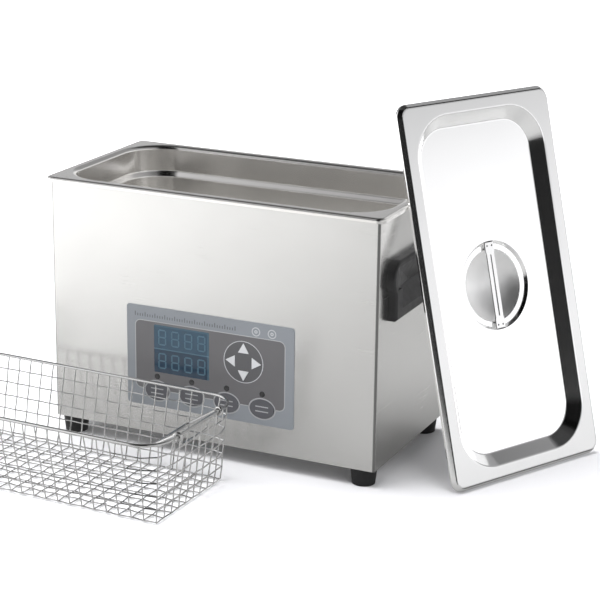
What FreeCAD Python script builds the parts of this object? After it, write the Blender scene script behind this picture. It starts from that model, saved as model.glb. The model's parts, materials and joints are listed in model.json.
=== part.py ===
"""Bench-top ultrasonic cleaner with a lift-off lid and a wire basket.

Millimetres. X runs along the cleaner, Y from front to back, Z up. The origin is on the floor, under the
centre of the casing. The tank is open: the lid leans on the right side and the basket stands in front.
"""
import FreeCAD, Part
import math
import os

Vec = FreeCAD.Vector
X_AXIS = Vec(1, 0, 0)
Y_AXIS = Vec(0, 1, 0)
Z_AXIS = Vec(0, 0, 1)

# --- driving dimensions: casing -------------------------------------------------------------------
CASE_LENGTH = 330.0
CASE_DEPTH = 171.4
FOOT_HEIGHT = 16.0
RIM_TOP = 250.0            # height of the tank rim above the floor
CASE_TOP = RIM_TOP - 2.0   # the casing's edge is hidden under the rim
SHEET = 0.8                # stainless sheet of casing, tank and lid
BASE_SHEET = 1.0
CASE_BEND = 2.5            # outside radius of the folded vertical corners
GAP = 0.05                 # assembly gap between separate pieces

HALF_LENGTH = CASE_LENGTH / 2
HALF_DEPTH = CASE_DEPTH / 2
CASE_FRONT = -HALF_DEPTH
CASE_REAR = HALF_DEPTH
BASE_TOP = FOOT_HEIGHT + BASE_SHEET

# --- tank -----------------------------------------------------------------------------------------
OPENING = (317.0, 158.0)   # clear opening at the rim
OPENING_RADIUS = 39.0
RIM = (339.0, 179.0)       # outside of the turned-down lip
RIM_RADIUS = 7.0
RIM_BEVEL = 2.5            # the lip first slopes out by this much
RIM_BEVEL_DROP = 3.6
RIM_LIP = 4.8              # height of the lip, bevel included
RIM_BEND = 4.0             # radius between the rim and the tank wall
SHOULDER_DROP = 26.0       # pressed shoulder below the rim
SHOULDER_RUN = 3.0
TANK_DEPTH = 100.0
TANK_FLOOR_BEND = 15.0
TANK_FLOOR = RIM_TOP - TANK_DEPTH
TANK_UNDERSIDE = TANK_FLOOR - SHEET

# --- control panel on the front, placed by its own centre line ------------------------------------
OVERLAY_WIDTH = 171.0
OVERLAY_BOTTOM = 42.5
OVERLAY_TOP = 139.0
OVERLAY_THICKNESS = 0.8
DISPLAY = (-57.0, 0.0, 76.5, 122.3)      # left, right, bottom, top
ARROW_PAD_CENTRE = (35.0, 99.9)
ARROW_PAD_RADIUS = 20.0
ARROW_TIP = 17.8
ARROW_BASE = 8.6
ARROW_HALF_WIDTH = 5.3
KEY_ROW_HEIGHT = 58.0
KEY_PITCH = 36.0
KEY_HALF_WIDTH = 12.2
KEY_HALF_HEIGHT = 9.0
LAMP_ROW_HEIGHT = 72.0
LAMP_RADIUS = 2.8
KEY_PROUD = 0.5
KEY_TRAVEL = 0.4
KEY_CLEARANCE = 0.12
SWITCH_HEIGHT = 5.0

# --- side handles ---------------------------------------------------------------------------------
HANDLE_WIDTH = 124.0
HANDLE_BOTTOM = 151.0
HANDLE_TOP = 205.0
HANDLE_PROUD = 8.0
HANDLE_CUP_DEPTH = 4.5     # how far the cup enters the casing
HANDLE_EDGE = 2.5          # rounding of the outer edge
HANDLE_CREST = 16.0        # radius of the bulging upper corners
HANDLE_BULGE = 6.0         # how far they stand out past the straight ends
HANDLE_STRAIGHT = 20.0     # height of the straight ends
GRIP_BOTTOM = 180.0        # finger recess on the outer face
GRIP_TOP = 200.0
GRIP_INSET = 1.5           # from the straight ends
GRIP_DEPTH = 10.0
GRIP_CREASE = 176.0        # height of the deepest line of the recess
GRIP_CREASE_HALF = 11.0
RAMP_BOTTOM = 160.5        # sloped plate below the recess
RAMP_INSET = 13.0

# --- feet and fasteners ---------------------------------------------------------------------------
FOOT_INSET = (15.0, 12.0)  # from the casing's sides, from its front and rear
FOOT_TOP_RADIUS = 12.5
FOOT_BOTTOM_RADIUS = 10.6
FOOT_SCREW_RADIUS = 2.0
PANEL_SCREW_RADIUS = 1.5

# --- lid ------------------------------------------------------------------------------------------
LID = (176.0, 340.4)       # flat border, inside its turned edge
LID_RADIUS = 9.0
LID_FLARE = 3.2            # the edge slopes outwards by this much
LID_FLARE_DROP = 4.0
LID_SKIRT = 6.0            # depth of the edge, slope included
LID_RECESS = (153.4, 318.2)
LID_RECESS_RADIUS = 40.0
LID_RECESS_RUN = 10.5
LID_RECESS_DEPTH = 10.5
DISH_RADIUS = 40.5
DISH_STEP_RUN = 2.0
DISH_STEP = 3.0
BOWL_RADIUS = 33.0
BOWL_DEPTH = 16.0
GRIP_LENGTH = 79.0
GRIP_WIDTH = 11.6
GRIP_SLOT_LENGTH = 56.0
GRIP_SLOT_WIDTH = 1.5
GRIP_SHEET = 1.5
LID_YAW = -27.2            # direction the lid's outer face looks, about Z from +X
LID_LEAN = 15.7            # degrees that the lid leans back from upright
LID_CENTRE_X = 236.6
LID_CENTRE_Y = 35.0

# --- basket ---------------------------------------------------------------------------------------
BASKET_CENTRE = (-99.5, -180.0)
BASKET_YAW = -1.7
BASKET_RIM = (282.0, 142.0)    # centre line of the rim wire
BASKET_RIM_CORNER = 27.0
BASKET_FLOOR = (262.0, 112.0)
BASKET_RIM_HEIGHT = 75.0
MESH_CELLS = (21, 9)
MESH_ROWS = 6
MESH_WIRE = 0.7                # radius
RIM_WIRE = 1.5                 # radius
EYE_SPACING = 67.0
EYE_CLEARANCE = 0.06
STOP_WIDTH = 45.0              # wire stop under the rim between the eyes
STOP_DROP = 14.0
STOP_WIRE = 1.0                # radius
STOP_INSET = 4.0
BAIL_LEG = 29.0
BAIL_DROP = 16.0
BAIL_GRIP = 58.0

# --- rear panel fittings --------------------------------------------------------------------------
FAN_CENTRE = (88.0, 82.0)
FAN_SIZE = 60.0
FAN_DEPTH = 15.0
FAN_BORE = 28.5
FAN_TIP = 27.5
FAN_HUB = 15.0
FAN_HOLE_PITCH = 50.0
FAN_BLADES = 7
FAN_SHAFT = 1.5
INLET_CENTRE = (-95.0, 62.0)
SWITCH_CENTRE = (-95.0, 98.0)
FUSE_CENTRE = (-58.0, 62.0)
ROCKER_TILT = 8.0

# --- parts under the tank -------------------------------------------------------------------------
TRANSDUCER_PITCH = 95.0
HORN_TOP_RADIUS = 29.0
HORN_RADIUS = 19.0
HORN_HEIGHT = 30.0
PIEZO_THICKNESS = 6.0
BACK_MASS_HEIGHT = 22.0
BOLT_RADIUS = 4.0


# --- small builders -------------------------------------------------------------------------------
def box(low, high):
    """A block between two corners."""
    return Part.makeBox(high[0] - low[0], high[1] - low[1], high[2] - low[2], Vec(*low))


def rod(start, end, radius):
    """A round bar between two points."""
    start = Vec(*start)
    end = Vec(*end)
    return Part.makeCylinder(radius, (end - start).Length, start, end - start)


def rounded_outline(size, radius, z=0.0, centre=(0.0, 0.0)):
    """A closed rectangle with round corners, drawn at height z."""
    reach_x = size[0] / 2 - radius
    reach_y = size[1] / 2 - radius
    edges = []
    corners = [(1, 1, 0), (-1, 1, 90), (-1, -1, 180), (1, -1, 270)]
    previous_end = None
    first_start = None
    for side_x, side_y, turn in corners:
        middle = Vec(centre[0] + side_x * reach_x, centre[1] + side_y * reach_y, z)
        points = []
        for angle in (turn, turn + 45, turn + 90):
            spoke = Vec(math.cos(math.radians(angle)), math.sin(math.radians(angle)), 0)
            points.append(middle + spoke * radius)
        if previous_end is not None:
            edges.append(Part.makeLine(previous_end, points[0]))
        else:
            first_start = points[0]
        edges.append(Part.Arc(*points).toShape())
        previous_end = points[2]
    edges.append(Part.makeLine(previous_end, first_start))
    return Part.Wire(edges)


def rounded_plate(size, radius, thickness, z=0.0, centre=(0.0, 0.0)):
    """A flat plate with round corners, extruded up from height z."""
    face = Part.Face(rounded_outline(size, radius, z, centre))
    return face.extrude(Vec(0, 0, thickness))


def stacked(size, radius, levels):
    """A solid through rounded outlines; each level is (offset outwards, height) on the base outline."""
    wires = []
    for offset, z in levels:
        grown = (size[0] + 2 * offset, size[1] + 2 * offset)
        wires.append(rounded_outline(grown, radius + offset, z))
    return Part.makeLoft(wires, True, True)


def quarter_bend(centre_offset, centre_z, radius, start, end, steps=5):
    """Points (offset, height) along a quarter turn, from the start angle to the end angle."""
    points = []
    for step in range(steps + 1):
        angle = math.radians(start + (end - start) * step / steps)
        points.append((centre_offset + radius * math.cos(angle), centre_z + radius * math.sin(angle)))
    return points


def upright(shape, y=0.0):
    """Stand a shape drawn on the XY plane upright on the plane y, thickness towards the front."""
    stood = shape.copy()
    stood.rotate(Vec(0, 0, 0), X_AXIS, 90)
    stood.translate(Vec(0, y, 0))
    return stood


def hexagon(radius, height, base):
    """A hexagonal prism that grows up from its base point."""
    corners = [Vec(radius * math.cos(math.radians(60 * k)), radius * math.sin(math.radians(60 * k)), 0)
               for k in range(7)]
    prism = Part.Face(Part.makePolygon(corners)).extrude(Vec(0, 0, height))
    prism.translate(Vec(*base))
    return prism


def joined(shapes):
    """One solid from overlapping shapes."""
    first = shapes[0]
    if len(shapes) == 1:
        return first
    return first.fuse(list(shapes[1:])).removeSplitter()


def bent_wire(points, radius):
    """A wire of straight lengths with round elbows."""
    pieces = []
    for start, end in zip(points, points[1:]):
        pieces.append(rod(start, end, radius))
    for point in points[1:-1]:
        pieces.append(Part.makeSphere(radius, Vec(*point)))
    return joined(pieces)


def mirrored(shape, normal):
    """The mirror image across the plane through the origin."""
    return shape.mirror(Vec(0, 0, 0), normal)


def save(node, shapes):
    """Write one node; a node of several identical pieces is a group of separate solids."""
    solids = []
    for shape in shapes:
        solids.extend(shape.Solids)
    result = solids[0] if len(solids) == 1 else Part.makeCompound(solids)
    result.exportStep("parts/" + node + ".step")


# --- control panel cut-outs, shared by casing, overlay and keys -----------------------------------
def display_plate(thickness, grow=0.0):
    left, right, bottom, top = DISPLAY
    size = (right - left + 2 * grow, top - bottom + 2 * grow)
    return rounded_plate(size, 1.0 + grow, thickness, 0.0, ((left + right) / 2, (bottom + top) / 2))


def oval_plate(x, thickness, grow=0.0):
    ellipse = Part.Ellipse(Vec(x, KEY_ROW_HEIGHT, 0), KEY_HALF_WIDTH + grow, KEY_HALF_HEIGHT + grow)
    return Part.Face(Part.Wire(ellipse.toShape())).extrude(Vec(0, 0, thickness))


def arrow_plate(turn, thickness, grow=0.0):
    """A triangular key that points away from the middle of the pad."""
    tip = ARROW_TIP + 2 * grow
    base = ARROW_BASE - grow
    half = ARROW_HALF_WIDTH + 1.6 * grow
    corners = [Vec(tip, 0, 0), Vec(base, half, 0), Vec(base, -half, 0), Vec(tip, 0, 0)]
    plate = Part.Face(Part.makePolygon(corners)).extrude(Vec(0, 0, thickness))
    plate.rotate(Vec(0, 0, 0), Z_AXIS, turn)
    plate.translate(Vec(ARROW_PAD_CENTRE[0], ARROW_PAD_CENTRE[1], 0))
    return plate


def lamp_plate(x, thickness, grow=0.0):
    return Part.makeCylinder(LAMP_RADIUS + grow, thickness, Vec(x, LAMP_ROW_HEIGHT, 0))


KEY_COLUMNS = [KEY_PITCH * (k - 1.5) for k in range(4)]
ARROW_TURNS = {"right": 0, "up": 90, "left": 180, "down": 270}


# --- casing ---------------------------------------------------------------------------------------
def outer_casing():
    """Front and both sides, folded from one sheet, with the panel and handle cut-outs."""
    height = CASE_TOP - FOOT_HEIGHT
    size = (CASE_LENGTH, CASE_DEPTH + 20)
    inner_size = (CASE_LENGTH - 2 * SHEET, CASE_DEPTH + 20 - 2 * SHEET)
    centre = (0, 10)
    wrap = rounded_plate(size, CASE_BEND, height, FOOT_HEIGHT, centre)
    hollow = rounded_plate(inner_size, CASE_BEND - SHEET, height + 2, FOOT_HEIGHT - 1, centre)
    behind = box((-CASE_LENGTH, CASE_REAR, 0), (CASE_LENGTH, CASE_REAR + 40, RIM_TOP))
    wrap = wrap.cut(hollow).cut(behind)
    depth = 10.0
    cutters = [display_plate(depth, 0.3)]
    cutters.append(Part.makeCylinder(ARROW_PAD_RADIUS - 1, depth,
                                     Vec(ARROW_PAD_CENTRE[0], ARROW_PAD_CENTRE[1], 0)))
    for x in KEY_COLUMNS:
        cutters.append(oval_plate(x, depth, 0.3))
        cutters.append(lamp_plate(x, depth, 0.2))
    for cutter in cutters:
        wrap = wrap.cut(upright(cutter, CASE_FRONT + depth / 2))
    handle_hole = box((-CASE_LENGTH, -HANDLE_WIDTH / 2 + 6, HANDLE_BOTTOM + 5.5),
                      (CASE_LENGTH, HANDLE_WIDTH / 2 - 6, HANDLE_TOP - 5.5))
    return trimmed_under_rim(wrap.cut(handle_hole))


def rear_fittings_holes():
    """The cut-outs of the rear panel, as one list of cutters drawn on the XY plane."""
    deep = 60.0
    low = -deep / 2
    cutters = [Part.makeCylinder(FAN_BORE, deep, Vec(FAN_CENTRE[0], FAN_CENTRE[1], low))]
    for sx in (-1, 1):
        for sy in (-1, 1):
            reach = FAN_HOLE_PITCH / 2
            spot = Vec(FAN_CENTRE[0] + sx * reach, FAN_CENTRE[1] + sy * reach, low)
            cutters.append(Part.makeCylinder(PANEL_SCREW_RADIUS + 0.3, deep, spot))
    cutters.append(rounded_plate((27.6, 20.0), 2.0, deep, low, INLET_CENTRE))
    cutters.append(rounded_plate((13.0, 19.2), 1.0, deep, low, SWITCH_CENTRE))
    cutters.append(Part.makeCylinder(6.2, deep, Vec(FUSE_CENTRE[0], FUSE_CENTRE[1], low)))
    for row in range(6):
        for column in (-1, 0, 1):
            centre = (column * 66.0, 158.0 + row * 9.0)
            cutters.append(rounded_plate((50.0, 3.0), 1.49, deep, low, centre))
    return cutters


SCREW_HEIGHTS = [40.0, 135.0, 225.0]


def rear_panel():
    """Flat rear sheet with its two side flanges turned inwards."""
    half = HALF_LENGTH - SHEET - GAP
    low = BASE_TOP + GAP
    sheet = box((-half, CASE_REAR - SHEET, low), (half, CASE_REAR, CASE_TOP))
    for cutter in rear_fittings_holes():
        sheet = sheet.cut(upright(cutter, CASE_REAR))
    flanges = [sheet]
    for side in (-1, 1):
        inner = side * half
        outer = side * (half - SHEET)
        flange = box((min(inner, outer), CASE_REAR - 14, low + 12),
                     (max(inner, outer), CASE_REAR, CASE_TOP))
        flanges.append(flange)
    panel = joined(flanges)
    for side in (-1, 1):
        for z in SCREW_HEIGHTS:
            hole = rod((side * (half - 3), CASE_REAR - 7, z), (side * (half + 2), CASE_REAR - 7, z),
                       PANEL_SCREW_RADIUS + 0.1)
            panel = panel.cut(hole)
    return trimmed_under_rim(panel)


def panel_screw_holes():
    return [rod((side * (HALF_LENGTH - 3), CASE_REAR - 7, z), (side * (HALF_LENGTH + 3), CASE_REAR - 7, z),
                PANEL_SCREW_RADIUS + 0.1)
            for side in (-1, 1) for z in SCREW_HEIGHTS]


def panel_screws():
    """Screws through the casing sides into the rear panel's flanges."""
    screws = []
    for side in (-1, 1):
        for z in SCREW_HEIGHTS:
            y = CASE_REAR - 7
            shank = rod((side * (HALF_LENGTH - 6), y, z), (side * (HALF_LENGTH + 0.6), y, z),
                        PANEL_SCREW_RADIUS)
            head = rod((side * (HALF_LENGTH + GAP), y, z), (side * (HALF_LENGTH + 1.6), y, z), 2.8)
            slot = box((min(side * (HALF_LENGTH + 1.0), side * (HALF_LENGTH + 3)), y - 0.3, z - 2.0),
                       (max(side * (HALF_LENGTH + 1.0), side * (HALF_LENGTH + 3)), y + 0.3, z + 2.0))
            cross = slot.copy()
            cross.rotate(Vec(side * HALF_LENGTH, y, z), X_AXIS, 90)
            screws.append(joined([shank, head]).cut(slot).cut(cross))
    return screws


def foot_spots():
    return [(sx * (HALF_LENGTH - FOOT_INSET[0]), sy * (HALF_DEPTH - FOOT_INSET[1]))
            for sx in (-1, 1) for sy in (-1, 1)]


def base_plate():
    """Bottom tray with upturned edges, foot holes and a field of air slots."""
    half_x = HALF_LENGTH - SHEET - GAP
    front = CASE_FRONT + SHEET + GAP
    rear = CASE_REAR
    middle = (0.0, (rear + front) / 2)
    tray = rounded_plate((2 * half_x, rear - front), CASE_BEND, BASE_SHEET, FOOT_HEIGHT, middle)
    walls = [tray]
    walls.append(box((-half_x + 3, front, FOOT_HEIGHT), (half_x - 3, front + BASE_SHEET, BASE_TOP + 11)))
    for side in (-1, 1):
        inner = side * half_x
        outer = side * (half_x - BASE_SHEET)
        walls.append(box((min(inner, outer), front + 3, FOOT_HEIGHT),
                         (max(inner, outer), rear - 16, BASE_TOP + 11)))
    plate = joined(walls)
    for x, y in foot_spots():
        plate = plate.cut(rod((x, y, 0), (x, y, BASE_TOP + 5), FOOT_SCREW_RADIUS + 0.2))
    for row in range(5):
        for side in (-1, 1):
            slot = rounded_plate((70.0, 3.2), 1.59, 10, FOOT_HEIGHT - 3, (side * 70.0, -20.0 + row * 10.0))
            plate = plate.cut(slot)
    return plate


def feet():
    """Conical rubber feet with a recess for the screw head."""
    made = []
    for x, y in foot_spots():
        cone = Part.makeCone(FOOT_BOTTOM_RADIUS, FOOT_TOP_RADIUS, FOOT_HEIGHT - GAP, Vec(x, y, 0))
        recess = rod((x, y, -1), (x, y, 6), 4.6)
        bore = rod((x, y, 0), (x, y, FOOT_HEIGHT + 1), FOOT_SCREW_RADIUS + 0.1)
        made.append(cone.cut(recess).cut(bore))
    return made


def foot_screws():
    made = []
    for x, y in foot_spots():
        shank = rod((x, y, 4), (x, y, BASE_TOP + 6), FOOT_SCREW_RADIUS)
        head = rod((x, y, 3.2), (x, y, 6 - GAP), 3.9)
        made.append(joined([shank, head]))
    return made


def foot_nuts():
    made = []
    for x, y in foot_spots():
        nut = hexagon(4.0, 3.2, (x, y, BASE_TOP + GAP))
        made.append(nut.cut(rod((x, y, BASE_TOP), (x, y, BASE_TOP + 5), FOOT_SCREW_RADIUS + 0.03)))
    return made


# --- tank -----------------------------------------------------------------------------------------
LIP_LOW = RIM_TOP - RIM_LIP
BEVEL_LOW = RIM_TOP - RIM_BEVEL_DROP


def room_under_rim(clearance):
    """The hollow inside the turned-down lip; clearance shrinks it all round."""
    wall = -SHEET - clearance
    return stacked(RIM, RIM_RADIUS, [(wall, LIP_LOW - 1), (wall, BEVEL_LOW - 0.2),
                                     (-RIM_BEVEL - 0.5 - clearance, RIM_TOP - SHEET - clearance)])


def trimmed_under_rim(shape):
    """A casing part with its upper edge trimmed to stay inside the lip."""
    reach = CASE_LENGTH
    above = box((-reach, -reach, LIP_LOW - 0.5), (reach, reach, RIM_TOP + 5))
    return shape.cut(above.cut(room_under_rim(GAP)))


def tank():
    """One pressed sheet: turned-down lip, flat rim, wall with a shoulder, rounded floor."""
    wall_top = RIM_TOP - RIM_BEND
    shoulder = RIM_TOP - SHOULDER_DROP
    floor_centre = TANK_FLOOR + TANK_FLOOR_BEND

    def skin(grow):
        """Levels of the inner surface (grow 0) or the outer surface (grow SHEET)."""
        levels = quarter_bend(RIM_BEND, wall_top, RIM_BEND - grow, 90, 180)
        levels.append((grow, shoulder - grow / 2))
        levels.append((grow - SHOULDER_RUN, shoulder - SHOULDER_RUN - grow / 2))
        inset = SHOULDER_RUN + TANK_FLOOR_BEND
        levels.extend(quarter_bend(-inset, floor_centre, TANK_FLOOR_BEND + grow, 0, -90, 6))
        return levels

    hollow = stacked(OPENING, OPENING_RADIUS, [(RIM_BEND, RIM_TOP + 1)] + skin(0))
    body = stacked(OPENING, OPENING_RADIUS, [(RIM_BEND, RIM_TOP - SHEET / 2)] + skin(SHEET))
    cap = stacked(RIM, RIM_RADIUS, [(0, LIP_LOW), (0, BEVEL_LOW), (-RIM_BEVEL + 0.6, RIM_TOP - 0.7),
                                    (-RIM_BEVEL, RIM_TOP)])
    return cap.cut(room_under_rim(0)).fuse(body).cut(hollow).removeSplitter()


def rim_gasket():
    """Seal strip between the casing's top edge and the rim."""
    outer = rounded_plate((CASE_LENGTH - 0.8, CASE_DEPTH - 1.2), 4.0, 1.05, CASE_TOP + GAP)
    inner = rounded_plate((CASE_LENGTH - 3.4, CASE_DEPTH - 3.6), 3.0, 3.0, CASE_TOP - 1)
    return trimmed_under_rim(outer.cut(inner))


# --- transducers and heaters ----------------------------------------------------------------------
TRANSDUCER_SPOTS = [(k * TRANSDUCER_PITCH, 0.0) for k in (-1, 0, 1)]
HORN_TOP = TANK_UNDERSIDE - GAP
HORN_BOTTOM = HORN_TOP - HORN_HEIGHT
STACK_BOTTOM = HORN_BOTTOM - 2 * PIEZO_THICKNESS - 3 * GAP
BACK_BOTTOM = STACK_BOTTOM - BACK_MASS_HEIGHT


def transducer_horns():
    """Aluminium front masses bonded to the tank floor, each with a blind bolt hole."""
    made = []
    for x, y in TRANSDUCER_SPOTS:
        collar = Part.makeCylinder(HORN_TOP_RADIUS, 6, Vec(x, y, HORN_TOP - 6))
        cone = Part.makeCone(HORN_RADIUS, HORN_TOP_RADIUS, HORN_HEIGHT - 6, Vec(x, y, HORN_BOTTOM))
        hole = rod((x, y, HORN_BOTTOM - 1), (x, y, HORN_BOTTOM + 18), BOLT_RADIUS + 0.05)
        made.append(joined([cone, collar]).cut(hole))
    return made


def piezo_rings():
    made = []
    for x, y in TRANSDUCER_SPOTS:
        for layer in (1, 2):
            z = HORN_BOTTOM - layer * (PIEZO_THICKNESS + GAP)
            ring = Part.makeCylinder(HORN_RADIUS, PIEZO_THICKNESS, Vec(x, y, z))
            made.append(ring.cut(Part.makeCylinder(7.5, PIEZO_THICKNESS + 2, Vec(x, y, z - 1))))
    return made


def transducer_back_masses():
    made = []
    for x, y in TRANSDUCER_SPOTS:
        mass = Part.makeCylinder(HORN_RADIUS, BACK_MASS_HEIGHT, Vec(x, y, BACK_BOTTOM))
        made.append(mass.cut(rod((x, y, BACK_BOTTOM - 1), (x, y, STACK_BOTTOM + 1), BOLT_RADIUS + 0.05)))
    return made


def transducer_bolts():
    made = []
    for x, y in TRANSDUCER_SPOTS:
        shank = rod((x, y, BACK_BOTTOM - 3), (x, y, HORN_BOTTOM + 16), BOLT_RADIUS)
        head = hexagon(7.5, 6.0, (x, y, BACK_BOTTOM - 6 - GAP))
        made.append(joined([head, shank]))
    return made


def heater_pads():
    """Silicone heater mats on the tank's front and rear walls."""
    wall = OPENING[1] / 2 - SHOULDER_RUN + SHEET + GAP
    made = []
    for side in (-1, 1):
        inner = side * wall
        outer = side * (wall + 1.8)
        made.append(box((-105, min(inner, outer), 170), (105, max(inner, outer), 214)))
    return made


PROBE_CENTRE = (-47.5, 40.0)
CUTOUT_CENTRE = (47.5, 40.0)


def temperature_probe():
    """A clip on the tank floor with the sensor's metal sleeve."""
    x, y = PROBE_CENTRE
    clip = box((x - 6.5, y - 6, TANK_UNDERSIDE - 5), (x + 6.5, y + 6, TANK_UNDERSIDE - GAP))
    return clip.fuse(rod((x, y + 6, TANK_UNDERSIDE - 2.8), (x, y + 18, TANK_UNDERSIDE - 2.8), 2.0))


def thermal_cutout():
    """A disc against the tank floor with two blade terminals."""
    x, y = CUTOUT_CENTRE
    thickness = 6.0
    pieces = [Part.makeCylinder(8.0, thickness, Vec(x, y, TANK_UNDERSIDE - thickness - GAP))]
    for side in (-1, 1):
        blade_x = x + side * 4
        pieces.append(box((blade_x - 1.6, y - 0.4, TANK_UNDERSIDE - 14),
                          (blade_x + 1.6, y + 0.4, TANK_UNDERSIDE - thickness)))
    return joined(pieces)


# --- electronics under the tank -------------------------------------------------------------------
BOARD_LOW = (-72.0, -52.0)
BOARD_HIGH = (58.0, 34.0)
BOARD_Z = BASE_TOP + 8.0
BOARD_THICKNESS = 1.6
BOARD_TOP = BOARD_Z + BOARD_THICKNESS


def board_corners():
    return [(x, y) for x in (BOARD_LOW[0] + 6, BOARD_HIGH[0] - 6)
            for y in (BOARD_LOW[1] + 6, BOARD_HIGH[1] - 6)]


def generator_board():
    """Ultrasonic power board on four stand-offs."""
    board = box((BOARD_LOW[0], BOARD_LOW[1], BOARD_Z), (BOARD_HIGH[0], BOARD_HIGH[1], BOARD_TOP))
    for x, y in board_corners():
        board = board.cut(rod((x, y, BOARD_Z - 1), (x, y, BOARD_TOP + 1), 1.7))
    return board


def board_standoffs():
    """Spacers of the power board and of the control board."""
    made = [rod((x, y, BASE_TOP + GAP), (x, y, BOARD_Z - GAP), 3.0) for x, y in board_corners()]
    for x in (-76.0, 76.0):
        for z in (52.0, 129.0):
            made.append(rod((x, CASE_FRONT + SHEET + GAP, z), (x, CONTROL_FRONT - GAP, z), 2.5))
    return made


def heatsinks():
    """Two finned aluminium heatsinks."""
    made = []
    for x in (-48.0, 30.0):
        base = box((x - 18, -6, BOARD_TOP + GAP), (x + 18, -2, BOARD_TOP + 34))
        fins = [box((x - 17 + 7 * k, -2, BOARD_TOP + GAP), (x - 15.4 + 7 * k, 14, BOARD_TOP + 34))
                for k in range(5)]
        made.append(joined([base] + fins))
    return made


def output_transformer():
    """Ferrite transformer with its winding."""
    core = box((-22, -39, BOARD_TOP + GAP), (8, -15, BOARD_TOP + 26))
    winding = rod((-7, -43, BOARD_TOP + 13), (-7, -11, BOARD_TOP + 13), 11.5)
    return core.fuse(winding).removeSplitter()


def capacitors():
    spots = [(-58.0, -34.0, 9.0, 30.0), (-38.0, -34.0, 9.0, 30.0),
             (24.0, -34.0, 6.0, 20.0), (40.0, -34.0, 6.0, 20.0)]
    return [Part.makeCylinder(r, h, Vec(x, y, BOARD_TOP + GAP)) for x, y, r, h in spots]


# --- cooling fan ----------------------------------------------------------------------------------
FAN_REAR = CASE_REAR - SHEET - GAP
FAN_FRONT = FAN_REAR - FAN_DEPTH


def fan_frame():
    """Square fan housing with a motor seat on four struts."""
    x, z = FAN_CENTRE
    half = FAN_SIZE / 2
    housing = box((x - half, FAN_FRONT, z - half), (x + half, FAN_REAR, z + half))
    housing = housing.cut(rod((x, FAN_FRONT - 1, z), (x, FAN_REAR + 1, z), FAN_BORE))
    seat = rod((x, FAN_FRONT, z), (x, FAN_FRONT + 2.5, z), FAN_HUB)
    struts = [box((x - half + 1, FAN_FRONT, z - 1.5), (x + half - 1, FAN_FRONT + 2, z + 1.5)),
              box((x - 1.5, FAN_FRONT, z - half + 1), (x + 1.5, FAN_FRONT + 2, z + half - 1))]
    frame = joined([housing, seat] + struts)
    frame = frame.cut(rod((x, FAN_FRONT - 1, z), (x, FAN_FRONT + 4, z), FAN_SHAFT + 0.05))
    for sx in (-1, 1):
        for sz in (-1, 1):
            spot_x = x + sx * FAN_HOLE_PITCH / 2
            spot_z = z + sz * FAN_HOLE_PITCH / 2
            frame = frame.cut(rod((spot_x, FAN_FRONT - 1, spot_z), (spot_x, FAN_REAR + 1, spot_z),
                                  PANEL_SCREW_RADIUS + 0.1))
    return frame


def fan_rotor():
    """Hub, shaft and pitched blades."""
    x, z = FAN_CENTRE
    start = FAN_FRONT + 3.0
    end = FAN_REAR - 1.5
    hub = rod((x, start, z), (x, end, z), FAN_HUB - 0.5)
    shaft = rod((x, FAN_FRONT + 0.3, z), (x, start + 1, z), FAN_SHAFT)
    pieces = [hub, shaft]
    reach = FAN_TIP - 0.6
    middle = (start + end) / 2
    for k in range(FAN_BLADES):
        blade = box((FAN_HUB - 3, -5.5, -0.6), (reach, 5.5, 0.6))
        blade.rotate(Vec(0, 0, 0), X_AXIS, 38)
        blade.translate(Vec(x, middle, z))
        blade.rotate(Vec(x, middle, z), Y_AXIS, 360.0 * k / FAN_BLADES)
        pieces.append(blade)
    return joined(pieces)


def fan_guard():
    """Wire finger guard on the outside of the rear panel: rings on two cross wires."""
    x, z = FAN_CENTRE
    wire = 0.9
    plane = CASE_REAR + GAP + wire
    pieces = []
    for ring in (9.0, 16.0, 23.0, 29.5):
        pieces.append(Part.makeTorus(ring, wire, Vec(x, plane + 1.2, z), Y_AXIS))
    reach = FAN_HOLE_PITCH / 2
    for turn in (45, 135):
        bar = rod((x - reach * math.sqrt(2), plane, z), (x + reach * math.sqrt(2), plane, z), wire)
        bar.rotate(Vec(x, plane, z), Y_AXIS, turn)
        pieces.append(bar)
    guard = joined(pieces)
    eyes = []
    for sx in (-1, 1):
        for sz in (-1, 1):
            spot = Vec(x + sx * reach, CASE_REAR + GAP, z + sz * reach)
            eyes.append(Part.makeCylinder(3.4, 2 * wire, spot, Y_AXIS))
    guard = joined([guard] + eyes)
    for sx in (-1, 1):
        for sz in (-1, 1):
            guard = guard.cut(rod((x + sx * reach, CASE_REAR - 1, z + sz * reach),
                                  (x + sx * reach, CASE_REAR + 6, z + sz * reach), PANEL_SCREW_RADIUS + 0.1))
    return guard


def fan_screws():
    x, z = FAN_CENTRE
    made = []
    for sx in (-1, 1):
        for sz in (-1, 1):
            px = x + sx * FAN_HOLE_PITCH / 2
            pz = z + sz * FAN_HOLE_PITCH / 2
            head_y = CASE_REAR + 1.8 + 2 * GAP
            shank = rod((px, FAN_FRONT - 2, pz), (px, head_y + 0.5, pz), PANEL_SCREW_RADIUS)
            head = rod((px, head_y, pz), (px, head_y + 1.8, pz), 2.8)
            slot = box((px - 2.2, head_y + 1.0, pz - 0.35), (px + 2.2, head_y + 3, pz + 0.35))
            made.append(joined([shank, head]).cut(slot))
    return made


# --- control panel --------------------------------------------------------------------------------
OVERLAY_FRONT = CASE_FRONT - OVERLAY_THICKNESS
KEY_FRONT = OVERLAY_FRONT - KEY_PROUD
KEY_BACK = CASE_FRONT + SHEET + 0.1
SWITCH_FRONT = KEY_BACK + KEY_TRAVEL + 0.1
CONTROL_FRONT = SWITCH_FRONT + SWITCH_HEIGHT
CONTROL_THICKNESS = 1.6


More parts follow.
